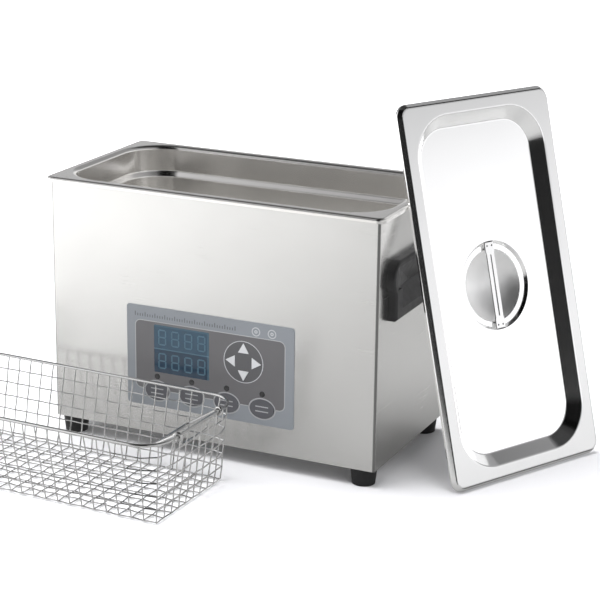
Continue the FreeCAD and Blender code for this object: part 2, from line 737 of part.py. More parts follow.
def front_overlay():
    """Printed polycarbonate overlay with openings for the display, the keys and the lamps."""
    height = OVERLAY_TOP - OVERLAY_BOTTOM
    film = rounded_plate((OVERLAY_WIDTH, height), 3.0, OVERLAY_THICKNESS, 0.0,
                         (0.0, (OVERLAY_TOP + OVERLAY_BOTTOM) / 2))
    film = upright(film, CASE_FRONT)
    depth = 6.0
    cutters = [display_plate(depth, 0.05)]
    for x in KEY_COLUMNS:
        cutters.append(oval_plate(x, depth, KEY_CLEARANCE))
        cutters.append(lamp_plate(x, depth, 0.05))
    for turn in ARROW_TURNS.values():
        cutters.append(arrow_plate(turn, depth, KEY_CLEARANCE))
    for cutter in cutters:
        film = film.cut(upright(cutter, CASE_FRONT + depth / 2))
    return film


def display_window():
    """Tinted window, flush with the overlay."""
    return upright(display_plate(OVERLAY_THICKNESS + SHEET), CASE_FRONT + SHEET)


def key_shape(plate_maker, place):
    return upright(plate_maker(place, KEY_BACK - KEY_FRONT), KEY_BACK)


def status_lamps():
    """Four lamps whose lenses end flush with the overlay."""
    depth = SHEET + 3.0
    return [upright(lamp_plate(x, OVERLAY_THICKNESS + depth), CASE_FRONT + depth) for x in KEY_COLUMNS]


def display_module():
    left, right, bottom, top = DISPLAY
    y_front = CASE_FRONT + SHEET + GAP
    return box((left + 1, y_front, bottom + 1), (right - 1, CONTROL_FRONT - GAP, top - 1))


def control_board():
    """Board behind the panel, screwed to four stand-offs."""
    return box((-80, CONTROL_FRONT, 46), (80, CONTROL_FRONT + CONTROL_THICKNESS, 135))


def key_switches():
    """One small push switch behind each key."""
    spots = [(x, KEY_ROW_HEIGHT) for x in KEY_COLUMNS]
    middle = (ARROW_TIP + 2 * ARROW_BASE) / 3
    for turn in ARROW_TURNS.values():
        angle = math.radians(turn)
        spots.append((ARROW_PAD_CENTRE[0] + middle * math.cos(angle),
                      ARROW_PAD_CENTRE[1] + middle * math.sin(angle)))
    made = []
    for x, z in spots:
        body = box((x - 3, SWITCH_FRONT + 1.5, z - 3), (x + 3, CONTROL_FRONT - GAP, z + 3))
        made.append(joined([body, rod((x, SWITCH_FRONT, z), (x, SWITCH_FRONT + 2, z), 1.6)]))
    return made


# --- side handles ---------------------------------------------------------------------------------
def handle_outline():
    """Outline of the handle in the YZ plane: straight low ends that flow into bulging round shoulders."""
    half = HANDLE_WIDTH / 2
    neck_height = HANDLE_BOTTOM + HANDLE_STRAIGHT
    crest = Vec(0, half + HANDLE_BULGE - HANDLE_CREST, HANDLE_TOP - HANDLE_CREST)
    rise = crest.z - neck_height
    inner = half - crest.y
    # The neck arc starts upright at the straight end and touches the crest arc.
    neck_radius = (inner ** 2 + rise ** 2 - HANDLE_CREST ** 2) / (2 * (HANDLE_CREST - inner))
    neck = Vec(0, half + neck_radius, neck_height)
    toward = (crest - neck).normalize()
    meeting = neck + toward * neck_radius
    half_turn = math.asin(toward.z) / 2
    neck_middle = neck + Vec(0, -math.cos(half_turn), math.sin(half_turn)) * neck_radius
    crest_angle = (math.pi / 2 - 2 * half_turn) / 2
    crest_middle = crest + Vec(0, math.cos(crest_angle), math.sin(crest_angle)) * HANDLE_CREST
    crest_top = Vec(0, crest.y, HANDLE_TOP)
    foot = Vec(0, half, HANDLE_BOTTOM)
    knee = Vec(0, half, neck_height)
    one_side = (foot, knee, neck_middle, meeting, crest_middle, crest_top)
    opposite = [Vec(0, -point.y, point.z) for point in one_side]
    edges = [Part.makeLine(foot, knee), Part.Arc(knee, neck_middle, meeting).toShape(),
             Part.Arc(meeting, crest_middle, crest_top).toShape(), Part.makeLine(crest_top, opposite[5]),
             Part.Arc(opposite[5], opposite[4], opposite[3]).toShape(),
             Part.Arc(opposite[3], opposite[2], opposite[1]).toShape(),
             Part.makeLine(opposite[1], opposite[0]), Part.makeLine(opposite[0], foot)]
    return Part.Wire(edges)


def grip_recess(face):
    """Finger recess with sloping ends that meet in a level crease, like a hipped roof turned inwards."""
    reach = HANDLE_WIDTH / 2 - GRIP_INSET
    overshoot = 1.1
    wires = []
    for share in (overshoot, 0.0):
        x = face - GRIP_DEPTH * (1 - share)
        half = GRIP_CREASE_HALF + (reach - GRIP_CREASE_HALF) * share
        low = GRIP_CREASE - 0.3 + (GRIP_BOTTOM - GRIP_CREASE) * share
        high = GRIP_CREASE + 0.3 + (GRIP_TOP - GRIP_CREASE) * share
        wires.append(Part.makePolygon([Vec(x, -half, low), Vec(x, half, low), Vec(x, half, high),
                                       Vec(x, -half, high), Vec(x, -half, low)]))
    return Part.makeLoft(wires, True, True)


def handle_ramp(face):
    """Wedge cut below the recess, so that the lower plate slopes in towards the crease."""
    reach = HANDLE_WIDTH / 2 - RAMP_INSET
    slope = (GRIP_CREASE - RAMP_BOTTOM) / GRIP_DEPTH
    corners = [Vec(face + 1, -reach, RAMP_BOTTOM - slope), Vec(face - GRIP_DEPTH, -reach, GRIP_CREASE),
               Vec(face - GRIP_DEPTH, -reach, GRIP_CREASE + 0.3), Vec(face + 1, -reach, GRIP_BOTTOM + 3)]
    corners.append(corners[0])
    return Part.Face(Part.makePolygon(corners)).extrude(Vec(0, 2 * reach, 0))


def right_handle():
    """Cup handle: bulging frame outside, shallow plug in the casing, recess and ramp for the fingers."""
    half = HANDLE_WIDTH / 2
    face = HALF_LENGTH + HANDLE_PROUD
    frame = Part.Face(handle_outline()).extrude(Vec(HANDLE_PROUD - GAP, 0, 0))
    frame.translate(Vec(HALF_LENGTH + GAP, 0, 0))
    outer_edges = [edge for edge in frame.Edges if edge.BoundBox.XMin > face - 0.1]
    frame = frame.makeFillet(HANDLE_EDGE, outer_edges)
    plug = box((HALF_LENGTH - HANDLE_CUP_DEPTH, -half + 6.2, HANDLE_BOTTOM + 5.7),
               (HALF_LENGTH + 1, half - 6.2, HANDLE_TOP - 5.7))
    return frame.fuse(plug).cut(grip_recess(face)).cut(handle_ramp(face)).removeSplitter()


# --- rear fittings --------------------------------------------------------------------------------
def power_inlet():
    """Three-pole mains inlet with a flange and an open socket."""
    x, z = INLET_CENTRE
    flange = upright(rounded_plate((34.0, 26.0), 3.0, 2.5, 0.0, (x, z)), CASE_REAR + GAP + 2.5)
    body = upright(rounded_plate((27.0, 19.4), 1.8, 22.0, 0.0, (x, z)), CASE_REAR + GAP + 0.5)
    socket = upright(rounded_plate((24.2, 16.6), 3.0, 17.0, 0.0, (x, z)), CASE_REAR + GAP + 3.5)
    return flange.fuse(body).cut(socket).removeSplitter()


def inlet_pins():
    x, z = INLET_CENTRE
    floor = CASE_REAR + GAP + 3.5 - 17.0
    made = []
    for dx, dz in ((-7, -1.5), (0, 2.5), (7, -1.5)):
        made.append(box((x + dx - 1, floor + GAP, z + dz - 2), (x + dx + 1, CASE_REAR - 0.5, z + dz + 2)))
    return made


def fuse_holder():
    x, z = FUSE_CENTRE
    cap = rod((x, CASE_REAR + GAP, z), (x, CASE_REAR + 6, z), 8.0)
    body = rod((x, CASE_REAR - 28, z), (x, CASE_REAR + 1, z), 6.0)
    slot = box((x - 5, CASE_REAR + 4.5, z - 0.8), (x + 5, CASE_REAR + 8, z + 0.8))
    return cap.fuse(body).cut(slot).removeSplitter()


def switch_frame():
    """Housing of the power switch with a pocket for the rocker and two pivot bores."""
    x, z = SWITCH_CENTRE
    flange = upright(rounded_plate((15.0, 21.0), 1.5, 1.5, 0.0, (x, z)), CASE_REAR + GAP + 1.5)
    body = upright(rounded_plate((12.6, 18.8), 0.8, 16.0, 0.0, (x, z)), CASE_REAR + GAP + 0.5)
    pocket = box((x - 5.4, CASE_REAR - 8, z - 8.9), (x + 5.4, CASE_REAR + 4, z + 8.9))
    pivot = rod((x - 6.0, CASE_REAR - 2.5, z), (x + 6.0, CASE_REAR - 2.5, z), 1.05)
    return flange.fuse(body).cut(pocket).cut(pivot).removeSplitter()


def power_rocker():
    """Rocker with a shallow V face and two pivot pins, resting on its off side."""
    x, z = SWITCH_CENTRE
    y = CASE_REAR - 2.5
    outline = [(8.0, 7.2), (0.0, 6.0), (-8.0, 7.2), (-8.0, 0.0), (-3.0, -2.5), (3.0, -2.5), (8.0, 0.0)]
    corners = [Vec(x - 5.2, y + dy, z + dz) for dz, dy in outline]
    corners.append(corners[0])
    rocker = Part.Face(Part.makePolygon(corners)).extrude(Vec(10.4, 0, 0))
    pins = rod((x - 5.9, y, z), (x + 5.9, y, z), 1.0)
    rocker = rocker.fuse(pins).removeSplitter()
    rocker.rotate(Vec(x, y, z), X_AXIS, -ROCKER_TILT)
    return rocker


# --- wiring ---------------------------------------------------------------------------------------
def transducer_cables():
    """Leads from the power board to the three transducer stacks."""
    made = []
    z = STACK_BOTTOM + PIEZO_THICKNESS
    for x, _ in TRANSDUCER_SPOTS:
        start = (x * 0.4 - 4.0, 24.0, BOARD_TOP + 1.2)
        made.append(bent_wire([start, (x * 0.4 - 4.0, 24.0, 58.0), (x, 28.0, 58.0), (x, 28.0, z),
                               (x, HORN_RADIUS + 1.3, z)], 1.1))
    return made


def ribbon_cable():
    """Flat cable between the control board and the power board."""
    y = CONTROL_FRONT + CONTROL_THICKNESS + GAP
    upper = box((-12, y, 60), (12, y + 1.0, 100))
    drop = box((-12, y, 34), (12, y + 1.0, 60))
    across = box((-12, y, 33), (12, BOARD_LOW[1] + 5, 34))
    end = box((-12, BOARD_LOW[1] + 4, BOARD_TOP + GAP), (12, BOARD_LOW[1] + 5, 34))
    return joined([upper, drop, across, end])


def mains_cables():
    """Leads from the inlet to the fuse holder and the power switch."""
    x, z = INLET_CENTRE
    inlet_back = CASE_REAR - 23.0
    switch_back = CASE_REAR - 17.5
    fuse_back = CASE_REAR - 29.5
    bend = CASE_REAR - 30.0
    far_bend = CASE_REAR - 36.0
    switch_z = SWITCH_CENTRE[1]
    fuse_x = FUSE_CENTRE[0]
    to_switch = [(x, inlet_back, z + 4), (x, bend, z + 4), (x, bend, switch_z), (x, switch_back, switch_z)]
    to_fuse = [(x + 8, inlet_back, z - 2), (x + 8, far_bend, z - 2), (fuse_x, far_bend, z - 2),
               (fuse_x, fuse_back, z - 2)]
    return [bent_wire(to_switch, 1.4), bent_wire(to_fuse, 1.4)]


# --- lid ------------------------------------------------------------------------------------------
def place_lid(shape):
    """Move a shape from the lid's own frame (outer face on z = 0, long side along y) to its pose."""
    lean = math.radians(LID_LEAN)
    yaw = math.radians(LID_YAW)
    normal = Vec(math.cos(lean) * math.cos(yaw), math.cos(lean) * math.sin(yaw), math.sin(lean))
    long_axis = Vec(-math.sin(lean) * math.cos(yaw), -math.sin(lean) * math.sin(yaw), math.cos(lean))
    short_axis = long_axis.cross(normal)
    height = (LID[1] / 2 + LID_FLARE) * math.cos(lean) + LID_SKIRT * math.sin(lean)
    matrix = FreeCAD.Matrix(short_axis.x, long_axis.x, normal.x, LID_CENTRE_X,
                            short_axis.y, long_axis.y, normal.y, LID_CENTRE_Y,
                            short_axis.z, long_axis.z, normal.z, height,
                            0, 0, 0, 1)
    placed = shape.copy()
    placed.Placement = FreeCAD.Placement(matrix).multiply(placed.Placement)
    return placed


def bowl(radius, depth, z):
    """The cap of a sphere that opens upwards, with its rim at height z."""
    sphere_radius = (radius ** 2 + depth ** 2) / (2 * depth)
    return Part.makeSphere(sphere_radius, Vec(0, 0, z + sphere_radius - depth))


def lid_pan():
    """Pressed lid: rounded skirt, flat border, sloped recess, stepped dish with a round bowl."""
    skin_top = stacked(LID, LID_RADIUS, [(LID_FLARE, -LID_SKIRT), (LID_FLARE, -LID_FLARE_DROP),
                                         (0.6, -0.7), (0, -0.2), (-0.8, 0)])
    under = LID_FLARE - SHEET
    skin_under = stacked(LID, LID_RADIUS, [(under, -LID_SKIRT - 1), (under, -LID_FLARE_DROP - SHEET / 3),
                                           (0, -SHEET - 0.7), (-0.8, -SHEET)])
    recess = [(0, 1), (0, 0), (-LID_RECESS_RUN, -LID_RECESS_DEPTH)]
    recess_under = [(SHEET, -SHEET / 2), (SHEET, -SHEET - 0.1),
                    (SHEET - LID_RECESS_RUN, -LID_RECESS_DEPTH - SHEET)]
    hollow = stacked(LID_RECESS, LID_RECESS_RADIUS, recess)
    pan = stacked(LID_RECESS, LID_RECESS_RADIUS, recess_under)
    floor = -LID_RECESS_DEPTH
    ledge = floor - DISH_STEP
    step_cut = Part.makeCone(DISH_RADIUS - DISH_STEP_RUN, DISH_RADIUS, DISH_STEP, Vec(0, 0, ledge))
    step_body = Part.makeCone(DISH_RADIUS - DISH_STEP_RUN + SHEET, DISH_RADIUS + SHEET, DISH_STEP,
                              Vec(0, 0, ledge - SHEET))
    below = box((-60, -60, ledge - 60), (60, 60, ledge))
    bowl_cut = bowl(BOWL_RADIUS, BOWL_DEPTH, ledge).common(below)
    below_sheet = box((-60, -60, ledge - 60), (60, 60, ledge - SHEET / 2))
    bowl_body = bowl(BOWL_RADIUS + SHEET, BOWL_DEPTH + SHEET, ledge).common(below_sheet)
    body = skin_top.cut(skin_under).fuse([pan, step_body, bowl_body])
    return body.cut(hollow).cut(step_cut).cut(bowl_cut).removeSplitter()


def lid_grip_bar():
    """Slotted bar across the dish, level with the recess floor, welded to the ledge at both ends."""
    top = -LID_RECESS_DEPTH
    ledge = top - DISH_STEP
    half = GRIP_LENGTH / 2
    plate = box((-GRIP_WIDTH / 2, -half, top - GRIP_SHEET), (GRIP_WIDTH / 2, half, top))
    pads = [box((-GRIP_WIDTH / 2, min(s * half, s * (half - 5)), ledge + GAP),
                (GRIP_WIDTH / 2, max(s * half, s * (half - 5)), top)) for s in (-1, 1)]
    bar = joined([plate] + pads)
    fit = DISH_RADIUS - 0.2
    round_ends = Part.makeCone(fit - DISH_STEP_RUN, fit, DISH_STEP, Vec(0, 0, ledge))
    slot = box((-GRIP_SLOT_WIDTH / 2, -GRIP_SLOT_LENGTH / 2, ledge - 1),
               (GRIP_SLOT_WIDTH / 2, GRIP_SLOT_LENGTH / 2, top + 1))
    return bar.common(round_ends).cut(slot)


# --- basket ---------------------------------------------------------------------------------------
def place_basket(shape):
    """Turn and move a shape from the basket's own frame (floor centre at the origin) to its place."""
    placed = shape.copy()
    placed.rotate(Vec(0, 0, 0), Z_AXIS, BASKET_YAW)
    placed.translate(Vec(BASKET_CENTRE[0], BASKET_CENTRE[1], 0))
    return placed


def rim_point(x, y):
    """Where the wall wire that starts at the floor point (x, y) meets the rim's centre line."""
    core_x = max(-BASKET_RIM[0] / 2 + BASKET_RIM_CORNER, min(BASKET_RIM[0] / 2 - BASKET_RIM_CORNER, x))
    core_y = max(-BASKET_RIM[1] / 2 + BASKET_RIM_CORNER, min(BASKET_RIM[1] / 2 - BASKET_RIM_CORNER, y))
    if abs(x) < BASKET_FLOOR[0] / 2 - 0.1 and core_x == x:
        core_y = math.copysign(BASKET_RIM[1] / 2 - BASKET_RIM_CORNER, y)
    if abs(y) < BASKET_FLOOR[1] / 2 - 0.1 and core_y == y:
        core_x = math.copysign(BASKET_RIM[0] / 2 - BASKET_RIM_CORNER, x)
    away = Vec(x - core_x, y - core_y, 0)
    away.normalize()
    return Vec(core_x, core_y, BASKET_RIM_HEIGHT) + away * BASKET_RIM_CORNER


FLOOR_LINES_X = [BASKET_FLOOR[0] * (k / MESH_CELLS[0] - 0.5) for k in range(MESH_CELLS[0] + 1)]
FLOOR_LINES_Y = [BASKET_FLOOR[1] * (k / MESH_CELLS[1] - 0.5) for k in range(MESH_CELLS[1] + 1)]


def basket_floor_wires():
    """Cross wires below, lengthwise wires above."""
    half_x = BASKET_FLOOR[0] / 2
    half_y = BASKET_FLOOR[1] / 2
    upper = 3 * MESH_WIRE + 0.02
    made = [rod((x, -half_y, MESH_WIRE), (x, half_y, MESH_WIRE), MESH_WIRE) for x in FLOOR_LINES_X]
    made += [rod((-half_x, y, upper), (half_x, y, upper), MESH_WIRE) for y in FLOOR_LINES_Y]
    return made


def basket_wall_wires():
    """Upright wires from the edge of the floor to the rim, all around."""
    half_x = BASKET_FLOOR[0] / 2
    half_y = BASKET_FLOOR[1] / 2
    feet_of_wires = [(x, side * half_y) for x in FLOOR_LINES_X for side in (-1, 1)]
    feet_of_wires += [(side * half_x, y) for y in FLOOR_LINES_Y[1:-1] for side in (-1, 1)]
    made = []
    for x, y in feet_of_wires:
        low = Vec(x, y, 0)
        high = rim_point(x, y)
        slope = high - low
        slope.normalize()
        start = low + slope * (4 * MESH_WIRE + 0.9)
        end = high - slope * (RIM_WIRE + 0.03)
        made.append(rod(start, end, MESH_WIRE))
    return made


def basket_wall_loops():
    """Level wires around the outside of the upright wires."""
    made = []
    for row in range(1, MESH_ROWS):
        share = row / MESH_ROWS
        z = BASKET_RIM_HEIGHT * share
        away = 2 * MESH_WIRE + 0.15
        size = [f + (r - f) * share + 2 * away for f, r in zip(BASKET_FLOOR, BASKET_RIM)]
        radius = BASKET_RIM_CORNER * share + away
        made.append(ring_wire(size, radius, z, MESH_WIRE))
    return made


def ring_wire(size, corner, z, wire_radius):
    """A closed loop of round wire with round corners."""
    straights = []
    reach_x = size[0] / 2 - corner
    reach_y = size[1] / 2 - corner
    for side in (-1, 1):
        x = side * size[0] / 2
        y = side * size[1] / 2
        straights.append(rod((-reach_x, y, z), (reach_x, y, z), wire_radius))
        straights.append(rod((x, -reach_y, z), (x, reach_y, z), wire_radius))
    elbows = []
    for sx, sy, turn in ((1, 1, 0), (-1, 1, 90), (-1, -1, 180), (1, -1, 270)):
        elbow = Part.makeTorus(corner, wire_radius, Vec(0, 0, 0), Z_AXIS, 0, 360, 90)
        elbow.rotate(Vec(0, 0, 0), Z_AXIS, turn)
        elbow.translate(Vec(sx * reach_x, sy * reach_y, z))
        elbows.append(elbow)
    return joined(straights + elbows)


def basket_rim():
    return ring_wire(BASKET_RIM, BASKET_RIM_CORNER, BASKET_RIM_HEIGHT, RIM_WIRE)


def basket_bail(side):
    """Folding end handle: two eyes around the rim, two legs and a grip, lying inwards."""
    x_rim = BASKET_RIM[0] / 2
    eye = RIM_WIRE + EYE_CLEARANCE + RIM_WIRE
    pieces = []
    z_rim = BASKET_RIM_HEIGHT
    grip = Vec(x_rim - BAIL_LEG, 0, z_rim - BAIL_DROP)
    for s in (-1, 1):
        y_eye = s * EYE_SPACING / 2
        pieces.append(Part.makeTorus(eye, RIM_WIRE, Vec(x_rim, y_eye, z_rim), Y_AXIS))
        leg_start = (x_rim - eye, y_eye, z_rim)
        leg_end = (grip.x, s * BAIL_GRIP / 2, grip.z)
        pieces.append(rod(leg_start, leg_end, RIM_WIRE))
        pieces.append(Part.makeSphere(RIM_WIRE, Vec(*leg_end)))
    pieces.append(rod((grip.x, -BAIL_GRIP / 2, grip.z), (grip.x, BAIL_GRIP / 2, grip.z), RIM_WIRE))
    bail = joined(pieces)
    keep_clear = rod((x_rim, -EYE_SPACING, z_rim), (x_rim, EYE_SPACING, z_rim), RIM_WIRE + EYE_CLEARANCE)
    bail = bail.cut(keep_clear)
    if side < 0:
        bail = mirrored(bail, X_AXIS)
    return bail


def basket_stops():
    """A wire loop hanging from the rim's end bar between the eyes, inside the end wall."""
    made = []
    x_top = BASKET_RIM[0] / 2 - RIM_WIRE
    z_top = BASKET_RIM_HEIGHT - RIM_WIRE - STOP_WIRE
    z_low = BASKET_RIM_HEIGHT - STOP_DROP
    half = STOP_WIDTH / 2
    for side in (-1, 1):
        points = [(side * x_top, -half, z_top), (side * (x_top - STOP_INSET), -half, z_low),
                  (side * (x_top - STOP_INSET), half, z_low), (side * x_top, half, z_top)]
        made.append(bent_wire(points, STOP_WIRE))
    return made


# --- assembly -------------------------------------------------------------------------------------
def main():
    os.makedirs("parts", exist_ok=True)
    casing = outer_casing()
    for hole in panel_screw_holes():
        casing = casing.cut(hole)
    save("outer_casing", [casing])
    save("rear_panel", [rear_panel()])
    save("base_plate", [base_plate()])
    save("panel_screws", panel_screws())
    save("rubber_feet", feet())
    save("foot_screws", foot_screws())
    save("foot_nuts", foot_nuts())
    save("tank", [tank()])
    save("rim_gasket", [rim_gasket()])
    save("transducer_horns", transducer_horns())
    save("piezo_rings", piezo_rings())
    save("transducer_back_masses", transducer_back_masses())
    save("transducer_bolts", transducer_bolts())
    save("heater_pads", heater_pads())
    save("temperature_probe", [temperature_probe()])
    save("thermal_cutout", [thermal_cutout()])
    save("generator_board", [generator_board()])
    save("board_standoffs", board_standoffs())
    save("heatsinks", heatsinks())
    save("output_transformer", [output_transformer()])
    save("capacitors", capacitors())
    save("fan_frame", [fan_frame()])
    save("fan_rotor", [fan_rotor()])
    save("fan_guard", [fan_guard()])
    save("fan_screws", fan_screws())
    save("front_overlay", [front_overlay()])
    save("display_window", [display_window()])
    save("display_module", [display_module()])
    save("control_board", [control_board()])
    save("key_switches", key_switches())
    save("status_lamps", status_lamps())
    for number, x in enumerate(KEY_COLUMNS, start=1):
        save("oval_key_%d" % number, [key_shape(oval_plate, x)])
    for name, turn in ARROW_TURNS.items():
        save("arrow_key_" + name, [key_shape(arrow_plate, turn)])
    handle = right_handle()
    save("right_handle", [handle])
    save("left_handle", [mirrored(handle, X_AXIS)])
    save("power_inlet", [power_inlet()])
    save("inlet_pins", inlet_pins())
    save("fuse_holder", [fuse_holder()])
    save("switch_frame", [switch_frame()])
    save("power_rocker", [power_rocker()])
    save("transducer_cables", transducer_cables())
    save("ribbon_cable", [ribbon_cable()])
    save("mains_cables", mains_cables())
    save("lid_pan", [place_lid(lid_pan())])
    save("lid_grip_bar", [place_lid(lid_grip_bar())])
    save("basket_floor_wires", [place_basket(wire) for wire in basket_floor_wires()])
    save("basket_wall_wires", [place_basket(wire) for wire in basket_wall_wires()])
    save("basket_wall_loops", [place_basket(wire) for wire in basket_wall_loops()])
    save("basket_rim", [place_basket(basket_rim())])
    save("basket_stops", [place_basket(stop) for stop in basket_stops()])
    save("basket_handle_right", [place_basket(basket_bail(1))])
    save("basket_handle_left", [place_basket(basket_bail(-1))])


main()
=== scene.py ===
"""Looks of the ultrasonic cleaner: steel, plastics, printed panel, woven basket and studio light."""
import json
import math

import bmesh
import bpy
from mathutils import Matrix, Vector


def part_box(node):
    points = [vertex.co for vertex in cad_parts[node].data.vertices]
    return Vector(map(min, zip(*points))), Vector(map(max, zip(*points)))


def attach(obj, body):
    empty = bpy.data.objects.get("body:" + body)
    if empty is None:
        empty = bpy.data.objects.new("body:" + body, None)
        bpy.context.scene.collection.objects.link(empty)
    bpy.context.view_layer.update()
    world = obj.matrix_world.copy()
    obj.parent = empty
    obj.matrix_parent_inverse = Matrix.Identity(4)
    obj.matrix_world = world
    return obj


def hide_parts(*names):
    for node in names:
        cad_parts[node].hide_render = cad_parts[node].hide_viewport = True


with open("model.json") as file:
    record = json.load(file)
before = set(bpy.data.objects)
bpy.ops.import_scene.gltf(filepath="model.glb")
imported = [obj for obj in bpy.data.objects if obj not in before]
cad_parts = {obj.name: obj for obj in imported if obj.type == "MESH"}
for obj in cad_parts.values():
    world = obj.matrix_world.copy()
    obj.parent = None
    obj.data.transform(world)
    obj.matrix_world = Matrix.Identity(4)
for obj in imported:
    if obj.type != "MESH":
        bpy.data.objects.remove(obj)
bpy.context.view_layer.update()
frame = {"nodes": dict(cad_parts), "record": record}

MM = 0.001
NODES = frame["nodes"]

# --- sizes shared by several pieces, in metres -------------------------------------------------
SHEET = 0.8 * MM
CREASE_ANGLE = math.radians(32)

OPENING_HALF = (158.5 * MM, 79.0 * MM)
OPENING_RADIUS = 39 * MM
RIM_RADIUS = 7 * MM
RIM_BEND = 4 * MM
SHOULDER_DROP = 26 * MM
SHOULDER_RUN = 3 * MM
SHOULDER_SOFTNESS = 1.2 * MM
TANK_FLOOR_BEND = 15 * MM
LIP_DROP = 4.8 * MM
LIP_BEND = 2.6 * MM

LID_HALF = (88 * MM, 170.2 * MM)
LID_RADIUS = 9 * MM
LID_FLARE = 3.2 * MM
LID_FLARE_DROP = 4 * MM
LID_SKIRT = 6 * MM
RECESS_HALF = (76.7 * MM, 159.1 * MM)
RECESS_RADIUS = 40 * MM
RECESS_RUN = 10.5 * MM
RECESS_DEPTH = 10.5 * MM
DISH_RADIUS = 40.5 * MM
DISH_STEP_RUN = 2 * MM
DISH_STEP = 3 * MM
BOWL_RADIUS = 33 * MM
BOWL_DEPTH = 16 * MM
PRESSED_EDGE = 0.5 * MM
LID_YAW = math.radians(-27.2)
LID_LEAN = math.radians(15.7)

GRIP_HALF_LENGTH = 39.5 * MM
GRIP_HALF_TAB = 5.8 * MM
GRIP_HALF_MIDDLE = 5.1 * MM
GRIP_TAB = 10.5 * MM
GRIP_SLOT = (0.75 * MM, 28 * MM)
GRIP_THICKNESS = 1.3 * MM
WELD_SPOTS = (2.8 * MM, GRIP_HALF_LENGTH - 3.2 * MM)

BASKET_YAW = math.radians(-1.7)
BASKET_RIM_HALF = (141 * MM, 71 * MM)
BASKET_RIM_CORNER = 27 * MM
BASKET_FLOOR_HALF = (131 * MM, 56 * MM)
BASKET_RIM_HEIGHT = 75 * MM
MESH_CELLS = (21, 9)
MESH_ROWS = 6
MESH_WIRE = 0.62 * MM
WEAVE = 0.28 * MM
FLOOR_WIRE_HEIGHT = 1.45 * MM
WEAVE_STEPS = 4
RIM_WIRE = 1.49 * MM
EYE_SPACING = 67 * MM
BAIL_LEG = 29 * MM
BAIL_DROP = 16 * MM
BAIL_GRIP = 58 * MM
COIL_TURNS = 1.25
STOP_WIRE = 1.0 * MM
STOP_HALF = 22.5 * MM
STOP_LENGTH = 14 * MM
STOP_INSET = 4 * MM

FIELD_INSET = {"X": (8.5 * MM, 8.5 * MM), "Z": (16.0 * MM, 13.6 * MM)}
FIELD_RADIUS = 6 * MM
PAD_RADIUS = 20 * MM
PRINT = 0.04 * MM
FIELD_LINE = 0.8 * MM
ARROW_RING = 0.7 * MM
KEY_RING_GAP = 1.5 * MM
KEY_RING = 1.2 * MM
KEY_MARK_HEIGHTS = (-2.4 * MM, 2.2 * MM)
KEY_MARK_HALF = (6.5 * MM, 0.5 * MM)
FIGURE = (8.4 * MM, 15.2 * MM, 1.3 * MM)
DIVIDER_HALF = 0.5 * MM
TICKS = 41
SCALE_SPAN = (9 * MM, 112 * MM)
SCALE_DROP = 10.5 * MM
TICK_HALF = 0.45 * MM
TICK_HEIGHTS = (4.2 * MM, 2.6 * MM)
SIGN_INSETS = (38 * MM, 22 * MM)
SIGN_DROP = 8.5 * MM
SIGN_RINGS = ((4.2 * MM, 0.8 * MM), (1.6 * MM, 0.9 * MM))

CAMERA_LENS = 115.52
CAMERA_TARGET = Vector((0.05047, 0.0, 0.13724))
CAMERA_DISTANCE = 1.7964
CAMERA_AZIMUTH = math.radians(24.88)
CAMERA_ELEVATION = math.radians(17.06)
CAMERA_ROLL = math.radians(0.74)


# --- mesh helpers ------------------------------------------------------------------------------
def piece(name, mesh, body, slot_name, look, *nodes):
    """A finished piece: shaded smooth except on creases, riding on a body, standing for CAD nodes."""
    mesh.name = name
    mesh.materials.append(LOOKS[look])
    mesh.polygons.foreach_set("use_smooth", [True] * len(mesh.polygons))
    mesh.set_sharp_from_angle(angle=CREASE_ANGLE)
    obj = bpy.data.objects.new(name, mesh)
    bpy.context.scene.collection.objects.link(obj)
    weighted = obj.modifiers.new("even_shading", "WEIGHTED_NORMAL")
    weighted.keep_sharp = True
    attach(obj, body)
    if nodes:
        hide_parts(*nodes)
    return obj


def mesh_from(work, closed=True):
    """The bmesh as a new mesh; the faces of a closed one are turned outwards."""
    if closed:
        bmesh.ops.recalc_face_normals(work, faces=work.faces)
    mesh = bpy.data.meshes.new("mesh")
    work.to_mesh(mesh)
    work.free()
    return mesh


def closed_mesh(vertices, faces):
    """A new mesh from points and faces, with every face turned outwards."""
    mesh = bpy.data.meshes.new("mesh")
    mesh.from_pydata(vertices, [], faces)
    mesh.validate()
    work = bmesh.new()
    work.from_mesh(mesh)
    bmesh.ops.recalc_face_normals(work, faces=work.faces)
    work.to_mesh(mesh)
    work.free()
    return mesh


def arc_points(centre_x, centre_y, radius, start, end, steps):
    """(x, y) points along an arc between two angles in degrees."""
    angles = [math.radians(start + (end - start) * step / steps) for step in range(steps + 1)]
    return [(centre_x + radius * math.cos(angle), centre_y + radius * math.sin(angle)) for angle in angles]


def rounded_loop(half_x, half_y, radius, z, corner_steps=14, side_steps=6):
    """Points around a rectangle with round corners, always the same count, so loops can be joined."""
    arcs = []
    for sx, sy, turn in ((1, 1, 0), (-1, 1, 90), (-1, -1, 180), (1, -1, 270)):
        middle = Vector((sx * (half_x - radius), sy * (half_y - radius), z))
        directions = arc_points(0, 0, 1, turn, turn + 90, corner_steps)
        arcs.append([middle + Vector((x, y, 0)) * radius for x, y in directions])
    points = []
    for arc, following in zip(arcs, arcs[1:] + arcs[:1]):
        points.extend(arc)
        for step in range(1, side_steps):
            points.append(arc[-1].lerp(following[0], step / side_steps))
    return points


def skin(loops):
    """A closed skin over a row of loops with equal point counts."""
    vertices = [point for loop in loops for point in loop]
    count = len(loops[0])
    faces = []
    for row in range(len(loops) - 1):
        here = row * count
        above = here + count
        for k in range(count):
            after = (k + 1) % count
            faces.append((here + k, here + after, above + after, above + k))
    faces.append(tuple(range(count - 1, -1, -1)))
    faces.append(tuple(range(len(vertices) - count, len(vertices))))
    return closed_mesh(vertices, faces)


